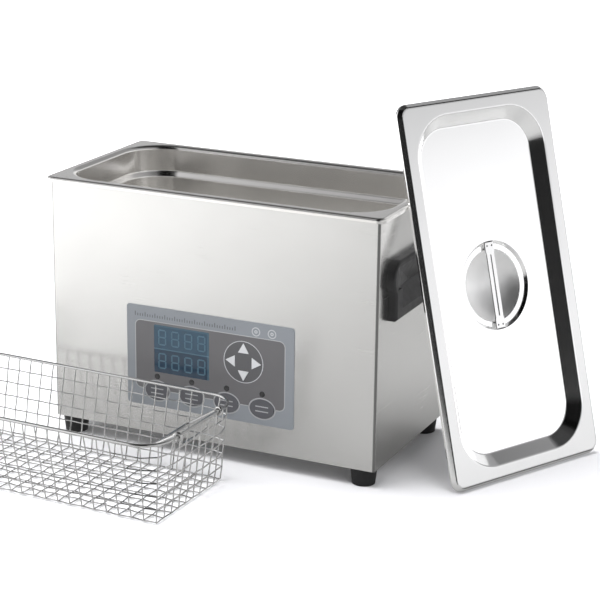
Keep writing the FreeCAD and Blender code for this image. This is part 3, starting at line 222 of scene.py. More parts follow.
def tube_into(vertices, faces, path, radius, sides=8, closed=False):
    """Adds a round wire along a path to vertex and face lists."""
    count = len(path)
    base = len(vertices)
    previous_side = None
    for k, point in enumerate(path):
        before = path[k - 1] if (k > 0 or closed) else path[k]
        after = path[(k + 1) % count] if (k < count - 1 or closed) else path[k]
        along = (after - before).normalized()
        if previous_side is None:
            reference = Vector((0, 0, 1)) if abs(along.z) < 0.9 else Vector((1, 0, 0))
            side = along.cross(reference).normalized()
        else:
            side = (previous_side - along * previous_side.dot(along)).normalized()
        previous_side = side
        up = side.cross(along)
        for step in range(sides):
            angle = 2 * math.pi * step / sides
            vertices.append(point + (side * math.cos(angle) + up * math.sin(angle)) * radius)
    rows = count if closed else count - 1
    for row in range(rows):
        low = base + row * sides
        high = base + ((row + 1) % count) * sides
        for step in range(sides):
            after = (step + 1) % sides
            faces.append((low + step, low + after, high + after, high + step))
    if not closed:
        faces.append(tuple(base + step for step in range(sides - 1, -1, -1)))
        last = base + (count - 1) * sides
        faces.append(tuple(last + step for step in range(sides)))


def wires_mesh(paths, radius, sides=8, closed=False):
    """Round wires along a list of paths, as one mesh."""
    vertices = []
    faces = []
    for path in paths:
        tube_into(vertices, faces, path, radius, sides, closed)
    return closed_mesh(vertices, faces)


def rounded_path(corners, radius, steps=6):
    """A polyline with its inner corners replaced by short arcs."""
    path = [corners[0]]
    for before, corner, after in zip(corners, corners[1:], corners[2:]):
        into = before - corner
        out = after - corner
        reach = min(radius, into.length * 0.45, out.length * 0.45)
        start = corner + into.normalized() * reach
        end = corner + out.normalized() * reach
        for step in range(steps + 1):
            t = step / steps
            path.append(start * (1 - t) ** 2 + corner * 2 * t * (1 - t) + end * t ** 2)
    path.append(corners[-1])
    return path


def move_to_box(mesh, rotation, low_corner, high_corner):
    """Turns a mesh, then centres it in a CAD box."""
    mesh.transform(rotation)
    xs, ys, zs = zip(*[v.co for v in mesh.vertices])
    middle = Vector(((min(xs) + max(xs)) / 2, (min(ys) + max(ys)) / 2, (min(zs) + max(zs)) / 2))
    shift = (low_corner + high_corner) / 2 - middle
    mesh.transform(Matrix.Translation(shift))
    return shift


# --- material helpers --------------------------------------------------------------------------
class Nodes:
    """Short calls for the nodes of one tree."""

    def __init__(self, tree):
        self.tree = tree
        self.tree.nodes.clear()

    def feed(self, socket, value):
        """Gives an input a plain value, or links it when the value is another node's output."""
        if hasattr(value, "is_output"):
            self.tree.links.new(value, socket)
        else:
            socket.default_value = value

    def node(self, kind, inputs=None, **properties):
        """A new node with its properties set, then its inputs fed by name or number."""
        made = self.tree.nodes.new(kind)
        for key, value in properties.items():
            setattr(made, key, value)
        for key, value in (inputs or {}).items():
            self.feed(made.inputs[key], value)
        return made

    def math(self, operation, *values):
        """One calculation on sockets or plain numbers."""
        return self.node("ShaderNodeMath", dict(enumerate(values)), operation=operation).outputs[0]

    def total(self, first, second):
        return self.math("ADD", first, second)

    def product(self, first, second):
        return self.math("MULTIPLY", first, second)

    def size(self, source):
        """The value without its sign."""
        return self.math("ABSOLUTE", source)

    def length(self, first, second):
        return self.math("SQRT", self.total(self.product(first, first), self.product(second, second)))

    def mapped(self, source, low, high, start, end, kind="LINEAR"):
        """Maps the range low..high onto start..end."""
        inputs = {"Value": source, "From Min": low, "From Max": high, "To Min": start, "To Max": end}
        return self.node("ShaderNodeMapRange", inputs, interpolation_type=kind).outputs["Result"]

    def smooth(self, source, low, high, start=0.0, end=1.0):
        """start up to low, end from high on, with a soft change between them."""
        return self.mapped(source, low, high, start, end, "SMOOTHSTEP")

    def step_at(self, source, place):
        """0 below a distance and 1 beyond it, with the soft edge of a print."""
        return self.smooth(source, place - 0.1 * MM, place + 0.1 * MM)

    def parts(self, source):
        """The x, y and z sockets of a vector."""
        return self.node("ShaderNodeSeparateXYZ", {0: source}).outputs[:]


class Shader(Nodes):
    """A material with one principled surface."""

    def __init__(self, name):
        self.material = bpy.data.materials.new(name)
        self.material.use_nodes = True
        super().__init__(self.material.node_tree)
        self.surface = self.node("ShaderNodeBsdfPrincipled")
        self.node("ShaderNodeOutputMaterial", {"Surface": self.surface.outputs[0]})
        self.coordinates = self.node("ShaderNodeTexCoord").outputs["Object"]

    def put(self, name, value):
        """Sets one input of the surface, from a socket or a plain value."""
        self.feed(self.surface.inputs[name], value)

    def noise(self, scale, stretch=(1, 1, 1), detail=3.0, roughness=0.55):
        place = self.node("ShaderNodeMapping", {"Scale": stretch, "Vector": self.coordinates}).outputs[0]
        inputs = {"Scale": scale, "Detail": detail, "Roughness": roughness, "Vector": place}
        return self.node("ShaderNodeTexNoise", inputs).outputs["Fac"]

    def ranged(self, source, low, high):
        """Maps a 0.3..0.7 noise value onto a range."""
        return self.mapped(source, 0.3, 0.7, low, high)

    def mixed(self, factor, first, second):
        """Two colours, each a plain one or a socket, mixed by a factor socket."""
        first, second = [(*tone, 1) if isinstance(tone, tuple) else tone for tone in (first, second)]
        inputs = {"Factor": factor, "A": first, "B": second}
        return self.node("ShaderNodeMix", inputs, data_type="RGBA").outputs["Result"]

    def mottled(self, colours):
        """One slightly uneven colour socket for each plain colour."""
        tone = self.noise(60)
        return [self.mixed(tone, colour, scaled(colour, 1.06)) for colour in colours]

    def bump(self, height, strength, distance):
        bump = self.node("ShaderNodeBump", {"Strength": strength, "Distance": distance, "Height": height})
        self.put("Normal", bump.outputs[0])


def scaled(colour, factor):
    """A colour made lighter or darker."""
    return tuple(channel * factor for channel in colour)


def steel(name, colour, roughness, grain=None, anisotropy=0.0, fold_painted_shade=1.0):
    """Stainless sheet with slow tone changes; optional fine grain, and painted shade on the rounded upright
    corners where the sheet turns from front to side.
    """
    shader = Shader(name)
    shader.put("Metallic", 1.0)
    slow = shader.noise(9, detail=2)
    dark = scaled(colour, 0.94)
    sheet = shader.mixed(slow, dark, colour)
    if fold_painted_shade < 1:
        # Painted shade: faces turned partway between front and side, the rounded upright corners, get a
        # darker copy of the colour in place of their dark reflections.
        facing = shader.parts(shader.node("ShaderNodeNewGeometry").outputs["Normal"])
        sideways = shader.size(facing[0])
        turned = shader.math("SUBTRACT", shader.smooth(sideways, 0.12, 0.3),
                             shader.smooth(sideways, 0.9, 0.985))
        darker = shader.mixed(slow, scaled(dark, fold_painted_shade), scaled(colour, fold_painted_shade))
        sheet = shader.mixed(turned, sheet, darker)
    shader.put("Base Color", sheet)
    smudge = shader.ranged(shader.noise(22, detail=4), roughness * 0.92, roughness * 1.08)
    if grain:
        lines = shader.noise(1, stretch=grain, detail=4, roughness=0.7)
        shader.put("Roughness", shader.total(smudge, shader.ranged(lines, -0.03, 0.03)))
        shader.bump(lines, 0.15, 0.00002)
    else:
        shader.put("Roughness", smudge)
    if anisotropy:
        shader.put("Anisotropic", anisotropy)
        tangent = shader.node("ShaderNodeTangent", direction_type="RADIAL", axis="Z")
        shader.put("Tangent", tangent.outputs[0])
        shader.put("Anisotropic Rotation", 0.25)
    return shader.material


def plastic(name, colour, roughness, grain_scale, grain_depth, spread=0.12, coat=0.0):
    """Moulded plastic or rubber: slight tone mottling and a fine surface grain."""
    shader = Shader(name)
    light = tuple(min(1.0, c * (1 + spread) + 0.002) for c in colour)
    shader.put("Base Color", shader.mixed(shader.noise(60, detail=3), colour, light))
    uneven = shader.noise(140, detail=4)
    shader.put("Roughness", shader.ranged(uneven, roughness * 0.88, roughness * 1.12))
    shader.bump(shader.noise(grain_scale, detail=3), 0.35, grain_depth)
    if coat:
        shader.put("Coat Weight", coat)
        shader.put("Coat Roughness", 0.12)
    return shader.material


def arrow_pad_centre():
    """Middle (x, z) of the four arrow keys."""
    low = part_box("arrow_key_down")[0]
    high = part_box("arrow_key_up")[1]
    return (low.x + high.x) / 2, (low.z + high.z) / 2


def printed_film(name, border, field, pad):
    """Printed film: a border, a darker field with round corners and a round pad, all slightly mottled."""
    shader = Shader(name)
    low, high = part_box("front_overlay")
    place_x, place_y, place_z = shader.parts(shader.coordinates)
    beyond = []
    for place, axis in ((place_x, "X"), (place_z, "Z")):
        first = getattr(low, axis.lower()) + FIELD_INSET[axis][0]
        last = getattr(high, axis.lower()) - FIELD_INSET[axis][1]
        off = shader.size(shader.math("SUBTRACT", place, (first + last) / 2))
        core = (last - first) / 2 - FIELD_RADIUS
        beyond.append(shader.math("MAXIMUM", shader.math("SUBTRACT", off, core), 0.0))
    outside = shader.step_at(shader.length(*beyond), FIELD_RADIUS)
    x, z = arrow_pad_centre()
    off_centre = shader.length(shader.math("SUBTRACT", place_x, x), shader.math("SUBTRACT", place_z, z))
    off_pad = shader.step_at(off_centre, PAD_RADIUS)
    pad_tone, field_tone, border_tone = shader.mottled((pad, field, border))
    inner = shader.mixed(off_pad, pad_tone, field_tone)
    shader.put("Base Color", shader.mixed(outside, inner, border_tone))
    shader.put("Roughness", shader.ranged(shader.noise(140, detail=4), 0.30, 0.38))
    shader.bump(shader.noise(1600, detail=3), 0.3, 0.00003)
    return shader.material


def tinted_window(name, upper, lower, bezel):
    """Tinted window: a paler upper row, a darker lower row and a pale bezel at the top and right."""
    shader = Shader(name)
    low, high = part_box("display_window")
    place_x, place_y, place_z = shader.parts(shader.coordinates)
    upper_tone, lower_tone, bezel_tone = shader.mottled((upper, lower, bezel))
    rows = shader.mixed(shader.step_at(place_z, (low.z + high.z) / 2), lower_tone, upper_tone)
    edge = shader.math("MAXIMUM", shader.step_at(place_x, high.x - 1.8 * MM),
                       shader.step_at(place_z, high.z - 1.5 * MM))
    shader.put("Base Color", shader.mixed(edge, rows, bezel_tone))
    shader.put("Roughness", shader.ranged(shader.noise(140, detail=4), 0.14, 0.18))
    shader.put("Coat Weight", 0.5)
    shader.put("Coat Roughness", 0.12)
    return shader.material


# --- the materials -----------------------------------------------------------------------------
# Colour and roughness; then the grain's stretch, the anisotropy and the painted shade on upright folds.
STEELS = {
    "casing_steel": ((0.70, 0.695, 0.68), 0.24, (9, 9, 2600), 0.7, 0.3),
    "back_steel": ((0.68, 0.675, 0.66), 0.28, (9, 9, 2200), 0.6),
    "tank_steel": ((0.80, 0.79, 0.77), 0.24),
    "lid_steel": ((0.97, 0.97, 0.965), 0.13),
    # Darker copies of the lid's steel: painted shade on the flat border and on the bend around it, standing
    # in for their dimmer reflections.
    "border_painted_shade": ((0.78, 0.78, 0.775), 0.2),
    "bend_painted_shade": ((0.16, 0.16, 0.16), 0.25),
    "bowl_steel": ((0.95, 0.95, 0.945), 0.46),
    "grip_steel": ((0.88, 0.88, 0.875), 0.2),
    # Painted shade for the grip's slot walls and edges; the spot welds also use this dark steel.
    "grip_shade_and_weld_steel": ((0.11, 0.11, 0.11), 0.3),
    "wire_steel": ((0.57, 0.57, 0.565), 0.13),
    "screw_steel": ((0.62, 0.62, 0.63), 0.28),
    "aluminium": ((0.76, 0.77, 0.78), 0.32),
    "brass": ((0.80, 0.62, 0.30), 0.25),
}
# Colour, roughness, scale and depth of the grain; then the colour's spread and a clear coat.
PLASTICS = {
    "foot_rubber": ((0.007, 0.007, 0.0075), 0.66, 900, 0.0001),
    "gasket_rubber": ((0.05, 0.05, 0.055), 0.6, 900, 0.0001),
    "heater_silicone": ((0.42, 0.09, 0.03), 0.6, 700, 0.0001),
    "handle_plastic": ((0.009, 0.009, 0.0095), 0.44, 2400, 0.00008),
    "black_plastic": ((0.018, 0.018, 0.019), 0.42, 2400, 0.00006),
    "key_plastic": ((0.085, 0.086, 0.095), 0.42, 1800, 0.00004),
    "arrow_plastic": ((0.62, 0.63, 0.64), 0.35, 1800, 0.00003),
    "print_light": ((0.50, 0.51, 0.525), 0.4, 1600, 0.00002, 0.05),
    "print_dark": ((0.11, 0.115, 0.125), 0.4, 1600, 0.00002, 0.05),
    "print_ring": ((0.38, 0.385, 0.395), 0.4, 1600, 0.00002, 0.05),
    "lamp_plastic": ((0.012, 0.012, 0.013), 0.18, 900, 0.00002, 0.12, 0.6),
    "display_digit": ((0.058, 0.130, 0.180), 0.3, 500, 0.00001, 0.1),
    "board_laminate": ((0.02, 0.12, 0.05), 0.3, 600, 0.00003, 0.3, 0.3),
    "piezo_ceramic": ((0.42, 0.36, 0.28), 0.5, 900, 0.00004),
    "ferrite": ((0.04, 0.035, 0.035), 0.55, 800, 0.0001),
    "cable_sheath": ((0.03, 0.03, 0.032), 0.4, 900, 0.00005),
}
LOOKS = {name: steel(name, *values) for name, values in STEELS.items()}
LOOKS |= {name: plastic(name, *values) for name, values in PLASTICS.items()}
LOOKS["capacitor_sleeve"] = LOOKS["black_plastic"]
LOOKS["overlay_film"] = printed_film("overlay_print", (0.235, 0.253, 0.272), (0.128, 0.126, 0.130),
                                     (0.096, 0.096, 0.100))
LOOKS["display_tint"] = tinted_window("display_tint", (0.014, 0.054, 0.094), (0.002, 0.026, 0.056),
                                      (0.035, 0.090, 0.132))
for part in frame["record"]["subparts"]:
    node = NODES[part["node"]]
    node.data.materials.clear()
    node.data.materials.append(LOOKS[part["material_slot"]])
for name in ("rear_panel", "base_plate"):
    NODES[name].data.materials[0] = LOOKS["back_steel"]


# --- tank --------------------------------------------------------------------------------------
def build_tank():
    """Pressed tank: turned-down lip, flat rim, wall with a shoulder, rounded floor, one closed sheet."""
    low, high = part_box("tank")
    top = high.z
    rim_half = (high.x, high.y)
    floor = low.z + SHEET
    loops = []

    def opening_loop(offset, z):
        half_x, half_y = OPENING_HALF
        loops.append(rounded_loop(half_x + offset, half_y + offset, OPENING_RADIUS + offset, z))

    def rim_loop(offset, z):
        loops.append(rounded_loop(rim_half[0] + offset, rim_half[1] + offset, RIM_RADIUS + offset, z))

    shoulder = top - SHOULDER_DROP
    floor_inset = SHOULDER_RUN + TANK_FLOOR_BEND
    for offset, z in arc_points(-floor_inset, floor + TANK_FLOOR_BEND, TANK_FLOOR_BEND, -90, 0, 10):
        opening_loop(offset, z)
    soft = SHOULDER_SOFTNESS
    opening_loop(-SHOULDER_RUN, shoulder - SHOULDER_RUN - 2 * soft)
    opening_loop(-SHOULDER_RUN + 0.1 * soft, shoulder - SHOULDER_RUN - soft)
    opening_loop(-SHOULDER_RUN + 0.5 * soft, shoulder - SHOULDER_RUN)
    opening_loop(-0.5 * soft, shoulder - 0.4 * soft)
    opening_loop(-0.1 * soft, shoulder + 0.5 * soft)
    opening_loop(0, shoulder + 1.5 * soft)
    for offset, z in arc_points(RIM_BEND, top - RIM_BEND, RIM_BEND, 180, 90, 8):
        opening_loop(offset, z)
    for offset, z in arc_points(-LIP_BEND, top - LIP_BEND, LIP_BEND, 90, 0, 8):
        rim_loop(offset, z)
    lip_end = top - LIP_DROP
    burr = 0.2 * MM
    rim_loop(0, lip_end + burr)
    rim_loop(-burr, lip_end)
    rim_loop(-SHEET + burr / 2, lip_end)
    rim_loop(-SHEET, lip_end + burr)
    for offset, z in arc_points(-LIP_BEND, top - LIP_BEND, LIP_BEND - SHEET, 0, 90, 6):
        rim_loop(offset, z)
    for offset, z in arc_points(RIM_BEND, top - RIM_BEND, RIM_BEND - SHEET, 90, 180, 6):
        opening_loop(offset, z)
    opening_loop(SHEET, shoulder)
    opening_loop(SHEET - SHOULDER_RUN, shoulder - SHOULDER_RUN)
    outer_bend = TANK_FLOOR_BEND + SHEET
    for offset, z in arc_points(-floor_inset, floor + TANK_FLOOR_BEND, outer_bend, 0, -90, 8):
        opening_loop(offset, z)
    piece("tank_pressing", skin(loops), "cleaner", "tank_steel", "tank_steel", "tank")


# --- lid ---------------------------------------------------------------------------------------
def lid_rotation():
    """Rotation from the lid's own frame (outer face up, long side along y) to its leaning pose."""
    forward = Vector((math.cos(LID_YAW), math.sin(LID_YAW), 0))
    upward = Vector((0, 0, 1))
    normal = forward * math.cos(LID_LEAN) + upward * math.sin(LID_LEAN)
    long_axis = upward * math.cos(LID_LEAN) - forward * math.sin(LID_LEAN)
    short_axis = long_axis.cross(normal)
    return Matrix((short_axis, long_axis, normal)).transposed().to_4x4()


def build_lid():
    """Pressed lid: skirt, flat border, sloped recess, stepped dish and round bowl, as one closed sheet."""
    loops = []

    def outline(half, radius, offset, z):
        return rounded_loop(half[0] + offset, half[1] + offset, radius + offset, z, side_steps=40)

    def lid_loop(offset, z):
        loops.append(outline(LID_HALF, LID_RADIUS, offset, z))

    def recess_loop(offset, z):
        loops.append(outline(RECESS_HALF, RECESS_RADIUS, offset, z))

    def round_loop(radius, z):
        """A circle whose points lie on the rays to the matching points of the recess outline."""
        points = []
        for point in outline(RECESS_HALF, RECESS_RADIUS, -RECESS_RUN, z):
            reach = radius / math.hypot(point.x, point.y)
            points.append(Vector((point.x * reach, point.y * reach, z)))
        loops.append(points)

    bowl_sphere = (BOWL_RADIUS ** 2 + BOWL_DEPTH ** 2) / (2 * BOWL_DEPTH)
    half_angle = math.asin(BOWL_RADIUS / bowl_sphere)

    def bowl_levels(extra, steps):
        """(radius, height below the ledge) from the bottom of the bowl to its rim."""
        levels = []
        for step in range(1, steps + 1):
            angle = half_angle * step / steps
            reach = bowl_sphere + extra
            levels.append((reach * math.sin(angle), bowl_sphere - BOWL_DEPTH - reach * math.cos(angle)))
        return levels

    floor = -RECESS_DEPTH
    ledge = floor - DISH_STEP
    for radius, drop in bowl_levels(0, 14)[:-1]:
        round_loop(radius, ledge + drop)
    edge = PRESSED_EDGE
    round_loop(BOWL_RADIUS - edge, ledge - 0.8 * edge)
    round_loop(BOWL_RADIUS, ledge - 0.2 * edge)
    round_loop(BOWL_RADIUS + edge, ledge)
    step_foot = DISH_RADIUS - DISH_STEP_RUN
    round_loop(step_foot - edge, ledge)
    round_loop(step_foot, ledge + 0.4 * edge)
    round_loop(DISH_RADIUS - 0.3 * edge, floor - 0.5 * edge)
    round_loop(DISH_RADIUS + 0.5 * edge, floor)
    round_loop(DISH_RADIUS + 2 * edge, floor)
    recess_loop(-RECESS_RUN - 4 * edge, floor)
    recess_loop(-RECESS_RUN - 1.6 * edge, floor)
    recess_loop(-RECESS_RUN - 0.6 * edge, floor + 0.1 * edge)
    recess_loop(-RECESS_RUN + 0.9 * edge, floor + 1.0 * edge)
    recess_loop(-1.4 * edge, -1.5 * edge)
    recess_loop(0.1 * edge, -0.3 * edge)
    recess_loop(1.6 * edge, 0)
    recess_loop(4 * edge, 0)
    lid_loop(-3.5 * edge, 0)
    lid_loop(-1.2 * edge, 0)
    lid_loop(-0.2 * edge, -0.2 * edge)
    lid_loop(0.9 * edge, -1.2 * edge)
    lid_loop(LID_FLARE - 0.9 * edge, -LID_FLARE_DROP + 1.6 * edge)
    lid_loop(LID_FLARE - 0.2 * edge, -LID_FLARE_DROP + 0.2 * edge)
    lid_loop(LID_FLARE, -LID_FLARE_DROP - edge)
    lid_loop(LID_FLARE, -LID_SKIRT + 0.15 * MM)
    lid_loop(LID_FLARE - 0.2 * MM, -LID_SKIRT)
    under = LID_FLARE - SHEET
    lid_loop(under + 0.1 * MM, -LID_SKIRT)
    lid_loop(under, -LID_SKIRT + 0.15 * MM)
    lid_loop(under, -LID_FLARE_DROP - edge)
    lid_loop(under - 0.6 * edge, -LID_FLARE_DROP)
    lid_loop(0, -SHEET - 0.7 * MM)
    lid_loop(-0.8 * MM, -SHEET)
    recess_loop(SHEET + edge, -SHEET)
    recess_loop(SHEET * 0.4, -SHEET * 1.4)
    recess_loop(SHEET * 0.6 - RECESS_RUN, floor - SHEET * 0.7)
    recess_loop(-RECESS_RUN - edge, floor - SHEET)
    round_loop(DISH_RADIUS + SHEET + edge, floor - SHEET)
    round_loop(DISH_RADIUS + SHEET * 0.7, floor - SHEET * 1.2)
    round_loop(step_foot + SHEET, ledge - SHEET * 0.5)
    round_loop(step_foot, ledge - SHEET)
    round_loop(BOWL_RADIUS + 1.5 * SHEET, ledge - SHEET)
    for radius, drop in reversed(bowl_levels(SHEET, 12)[:-1]):
        round_loop(radius, ledge + drop)
    mesh = skin(loops)
    finishes = [lid_finish(mesh, face) for face in mesh.polygons]
    low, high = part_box("lid_pan")
    shift = move_to_box(mesh, lid_rotation(), low, high)
    piece("lid_pressing", mesh, "lid", "lid_steel", "lid_steel", "lid_pan")
    for look in ("bowl_steel", "border_painted_shade", "bend_painted_shade"):
        mesh.materials.append(LOOKS[look])
    mesh.polygons.foreach_set("material_index", finishes)
    return shift


def lid_finish(mesh, face):
    """0 for the bright sheet, 1 for the satin bowl, 2 for the flat border in painted shade, 3 for the bend
    around it in darker painted shade.
    """
    corners = [mesh.vertices[index].co for index in face.vertices]
    lowest = min(corner.z for corner in corners)
    if max(math.hypot(corner.x, corner.y) for corner in corners) < BOWL_RADIUS:
        return 1
    if lowest > -0.08 * MM:
        return 2
    outermost = max(max(abs(corner.x) - LID_HALF[0], abs(corner.y) - LID_HALF[1]) for corner in corners)
    return 3 if outermost > -0.2 * MM and lowest > -0.7 * MM else 0


def on_lid(name, mesh, shift, *nodes):
    """Moves a mesh from the lid's own frame to its place and makes it a piece of the lid."""
    mesh.transform(lid_rotation())
    mesh.transform(Matrix.Translation(shift))
    piece(name, mesh, "lid", "lid_steel", "grip_steel", *nodes)


def build_grip(shift):
    """Slotted strip across the dish: narrow middle, rolled edges, wider tabs welded to the ledge."""
    top = -RECESS_DEPTH
    slot_half, slot_end = GRIP_SLOT
    roll = 0.6 * MM
    slope = 1 * MM
    tab_end = GRIP_HALF_LENGTH - GRIP_TAB + 3 * MM
    right_side = [(0, GRIP_HALF_MIDDLE, slot_half), (slot_end, GRIP_HALF_MIDDLE, slot_half),
                  (slot_end + slope, GRIP_HALF_MIDDLE, 0), (tab_end, GRIP_HALF_TAB, 0),
                  (GRIP_HALF_LENGTH - 0.8 * MM, GRIP_HALF_TAB, 0),
                  (GRIP_HALF_LENGTH, GRIP_HALF_TAB * 0.94, 0)]
    stations = [(-y, half, slot) for y, half, slot in right_side[:0:-1]] + right_side
    work = bmesh.new()
    rows = []
    for y, half, slot in stations:
        inner = max(slot, roll / 2)
        row = []
        for x in (-half, -half + roll, -inner, inner, half - roll, half):
            height = top if abs(x) < half - roll / 2 else top - 0.5 * MM
            row.append(work.verts.new((x, y, height)))
        rows.append(row)
    for first, second, here, after in zip(rows, rows[1:], stations, stations[1:]):
        for k in range(5):
            if k == 2 and here[2] and after[2]:
                continue
            work.faces.new((first[k], first[k + 1], second[k + 1], second[k]))
    work.normal_update()
    strip = thickened(mesh_from(work, closed=False), GRIP_THICKNESS)
    # Faces standing on edge, the slot walls and the strip's sides, get the dark steel of painted shade.
    edges = [int(abs(face.normal.z) < 0.5) for face in strip.polygons]
    on_lid("lid_grip", strip, shift, "lid_grip_bar")
    strip.materials.append(LOOKS["grip_shade_and_weld_steel"])
    strip.polygons.foreach_set("material_index", edges)
    build_grip_welds(shift, top)
    build_grip_feet(shift, top - GRIP_THICKNESS, top - DISH_STEP)


def build_grip_welds(shift, top):
    """Two small spot welds on each tab of the grip."""
    work = bmesh.new()
    for x in (-WELD_SPOTS[0], WELD_SPOTS[0]):
        for y in (-WELD_SPOTS[1], WELD_SPOTS[1]):
            place = Matrix.Translation((x, y, top + 0.05 * MM))
            bmesh.ops.create_cone(work, cap_ends=True, segments=20, radius1=1.0 * MM, radius2=0.6 * MM,
                                  depth=0.3 * MM, matrix=place)
    welds = mesh_from(work)
    on_lid("lid_grip_welds", welds, shift)
    # The welds share the dark steel of the grip's painted shade.
    welds.materials[0] = LOOKS["grip_shade_and_weld_steel"]


def build_grip_feet(shift, under_tab, ledge):
    """The blocks between the two tabs and the ledge of the dish."""
    work = bmesh.new()
    size = Matrix.Diagonal((2 * GRIP_HALF_TAB * 0.9, 5.0 * MM, under_tab - ledge, 1))
    for side in (-1, 1):
        middle = (0, side * (GRIP_HALF_LENGTH - 2.6 * MM), (under_tab + ledge) / 2 + 0.05 * MM)
        bmesh.ops.create_cube(work, size=1.0, matrix=Matrix.Translation(middle) @ size)
    bmesh.ops.bevel(work, geom=work.edges[:], offset=0.3 * MM, segments=2, affect="EDGES")
    on_lid("lid_grip_feet", mesh_from(work), shift)


def thickened(mesh, thickness):
    """The mesh as a closed sheet with rounded edges, grown downwards from its own surface."""
    carrier = bpy.data.objects.new("carrier", mesh)
    bpy.context.scene.collection.objects.link(carrier)
    solid = carrier.modifiers.new("sheet", "SOLIDIFY")
    solid.thickness = thickness
    solid.offset = -1
    bevel = carrier.modifiers.new("edges", "BEVEL")
    bevel.width = 0.25 * MM
    bevel.segments = 2
    bevel.limit_method = "ANGLE"
    depsgraph = bpy.context.evaluated_depsgraph_get()
    made = bpy.data.meshes.new_from_object(carrier.evaluated_get(depsgraph))
    bpy.data.objects.remove(carrier)
    return made


# --- basket ------------------------------------------------------------------------------------
def basket_matrix():
    """From the basket's own frame (floor centre at the origin) to its place."""
    low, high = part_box("basket_rim")
    middle = (low + high) / 2
    return Matrix.Translation((middle.x, middle.y, 0)) @ Matrix.Rotation(BASKET_YAW, 4, "Z")


def rim_point(x, y):
    """Where the wall wire over the floor point (x, y) meets the rim's centre line."""
    core_half_x = BASKET_RIM_HALF[0] - BASKET_RIM_CORNER
    core_half_y = BASKET_RIM_HALF[1] - BASKET_RIM_CORNER
    core_x = max(-core_half_x, min(core_half_x, x))
    core_y = max(-core_half_y, min(core_half_y, y))
    core = Vector((core_x, core_y, 0))
    if abs(y) > BASKET_FLOOR_HALF[1] - 0.1 * MM and core.x == x:
        core.y = math.copysign(core_half_y, y)
    if abs(x) > BASKET_FLOOR_HALF[0] - 0.1 * MM and core.y == y:
        core.x = math.copysign(core_half_x, x)
    away = (Vector((x, y, 0)) - core).normalized()
    return core + away * BASKET_RIM_CORNER + Vector((0, 0, BASKET_RIM_HEIGHT))


def waved(start, end, cells, phase, axis):
    """Points from start to end, swinging from side to side of the line once in every two mesh cells."""
    points = []
    for step in range(cells * WEAVE_STEPS + 1):
        share = step / (cells * WEAVE_STEPS)
        swing = WEAVE * math.cos(math.pi * (share * cells + phase))
        points.append(start.lerp(end, share) + axis * swing)
    return points


def wall_line(x, y):
    """Foot, crown and outward direction of the wall wire over the floor point (x, y)."""
    crown = rim_point(x, y)
    return Vector((x, y, FLOOR_WIRE_HEIGHT)), crown, Vector((crown.x - x, crown.y - y, 0)).normalized()


def basket_wires():
    """Woven mesh wires: cross wires and long wires, bent up into the walls past the level loops."""
    half_x, half_y = BASKET_FLOOR_HALF
    lines_x = [half_x * (2 * k / MESH_CELLS[0] - 1) for k in range(MESH_CELLS[0] + 1)]
    lines_y = [half_y * (2 * k / MESH_CELLS[1] - 1) for k in range(MESH_CELLS[1] + 1)]
    paths = []

    def rising(x, y, phase):
        foot, crown, outward = wall_line(x, y)
        return waved(foot, crown, MESH_ROWS, phase, outward)[1:-1] + [crown]

    def level(start_x, start_y, end_x, end_y, cells, phase):
        start = Vector((start_x, start_y, FLOOR_WIRE_HEIGHT))
        end = Vector((end_x, end_y, FLOOR_WIRE_HEIGHT))
        return waved(start, end, cells, phase, Vector((0, 0, 1)))

    for k, x in enumerate(lines_x):
        path = rising(x, -half_y, k)[::-1] + level(x, -half_y, x, half_y, MESH_CELLS[1], k)
        paths.append(path + rising(x, half_y, k))
    for k, y in enumerate(lines_y):
        path = level(-half_x, y, half_x, y, MESH_CELLS[0], k + 1)
        if 0 < k < MESH_CELLS[1]:
            path = rising(-half_x, y, k + 1)[::-1] + path + rising(half_x, y, k + 1)
        paths.append(path)
    return paths


def basket_loops():
    """Level loops around the walls, one per mesh row, through the wall wires' own positions."""
    half_x, half_y = BASKET_FLOOR_HALF
    count_x, count_y = MESH_CELLS
    feet = [(half_x * (2 * k / count_x - 1), -half_y) for k in range(count_x)]
    feet += [(half_x, half_y * (2 * k / count_y - 1)) for k in range(count_y)]
    feet += [(half_x * (1 - 2 * k / count_x), half_y) for k in range(count_x)]
    feet += [(-half_x, half_y * (1 - 2 * k / count_y)) for k in range(count_y)]
    loops = []
    for row in range(1, MESH_ROWS):
        share = row / MESH_ROWS
        knots = []
        for k, (x, y) in enumerate(feet):
            foot, crown, outward = wall_line(x, y)
            knots.append((foot.lerp(crown, share), outward, -1 if (k + row) % 2 else 1))
        path = []
        for here, after in zip(knots, knots[1:] + knots[:1]):
            for step in range(WEAVE_STEPS):
                t = step / WEAVE_STEPS
                swing = WEAVE * here[2] * math.cos(math.pi * t)
                path.append(here[0].lerp(after[0], t) - here[1].lerp(after[1], t) * swing)
        loops.append(path)
    return loops


def rim_path():
    """The rim wire's centre line."""
    return rounded_loop(*BASKET_RIM_HALF, BASKET_RIM_CORNER, BASKET_RIM_HEIGHT, 16, 24)


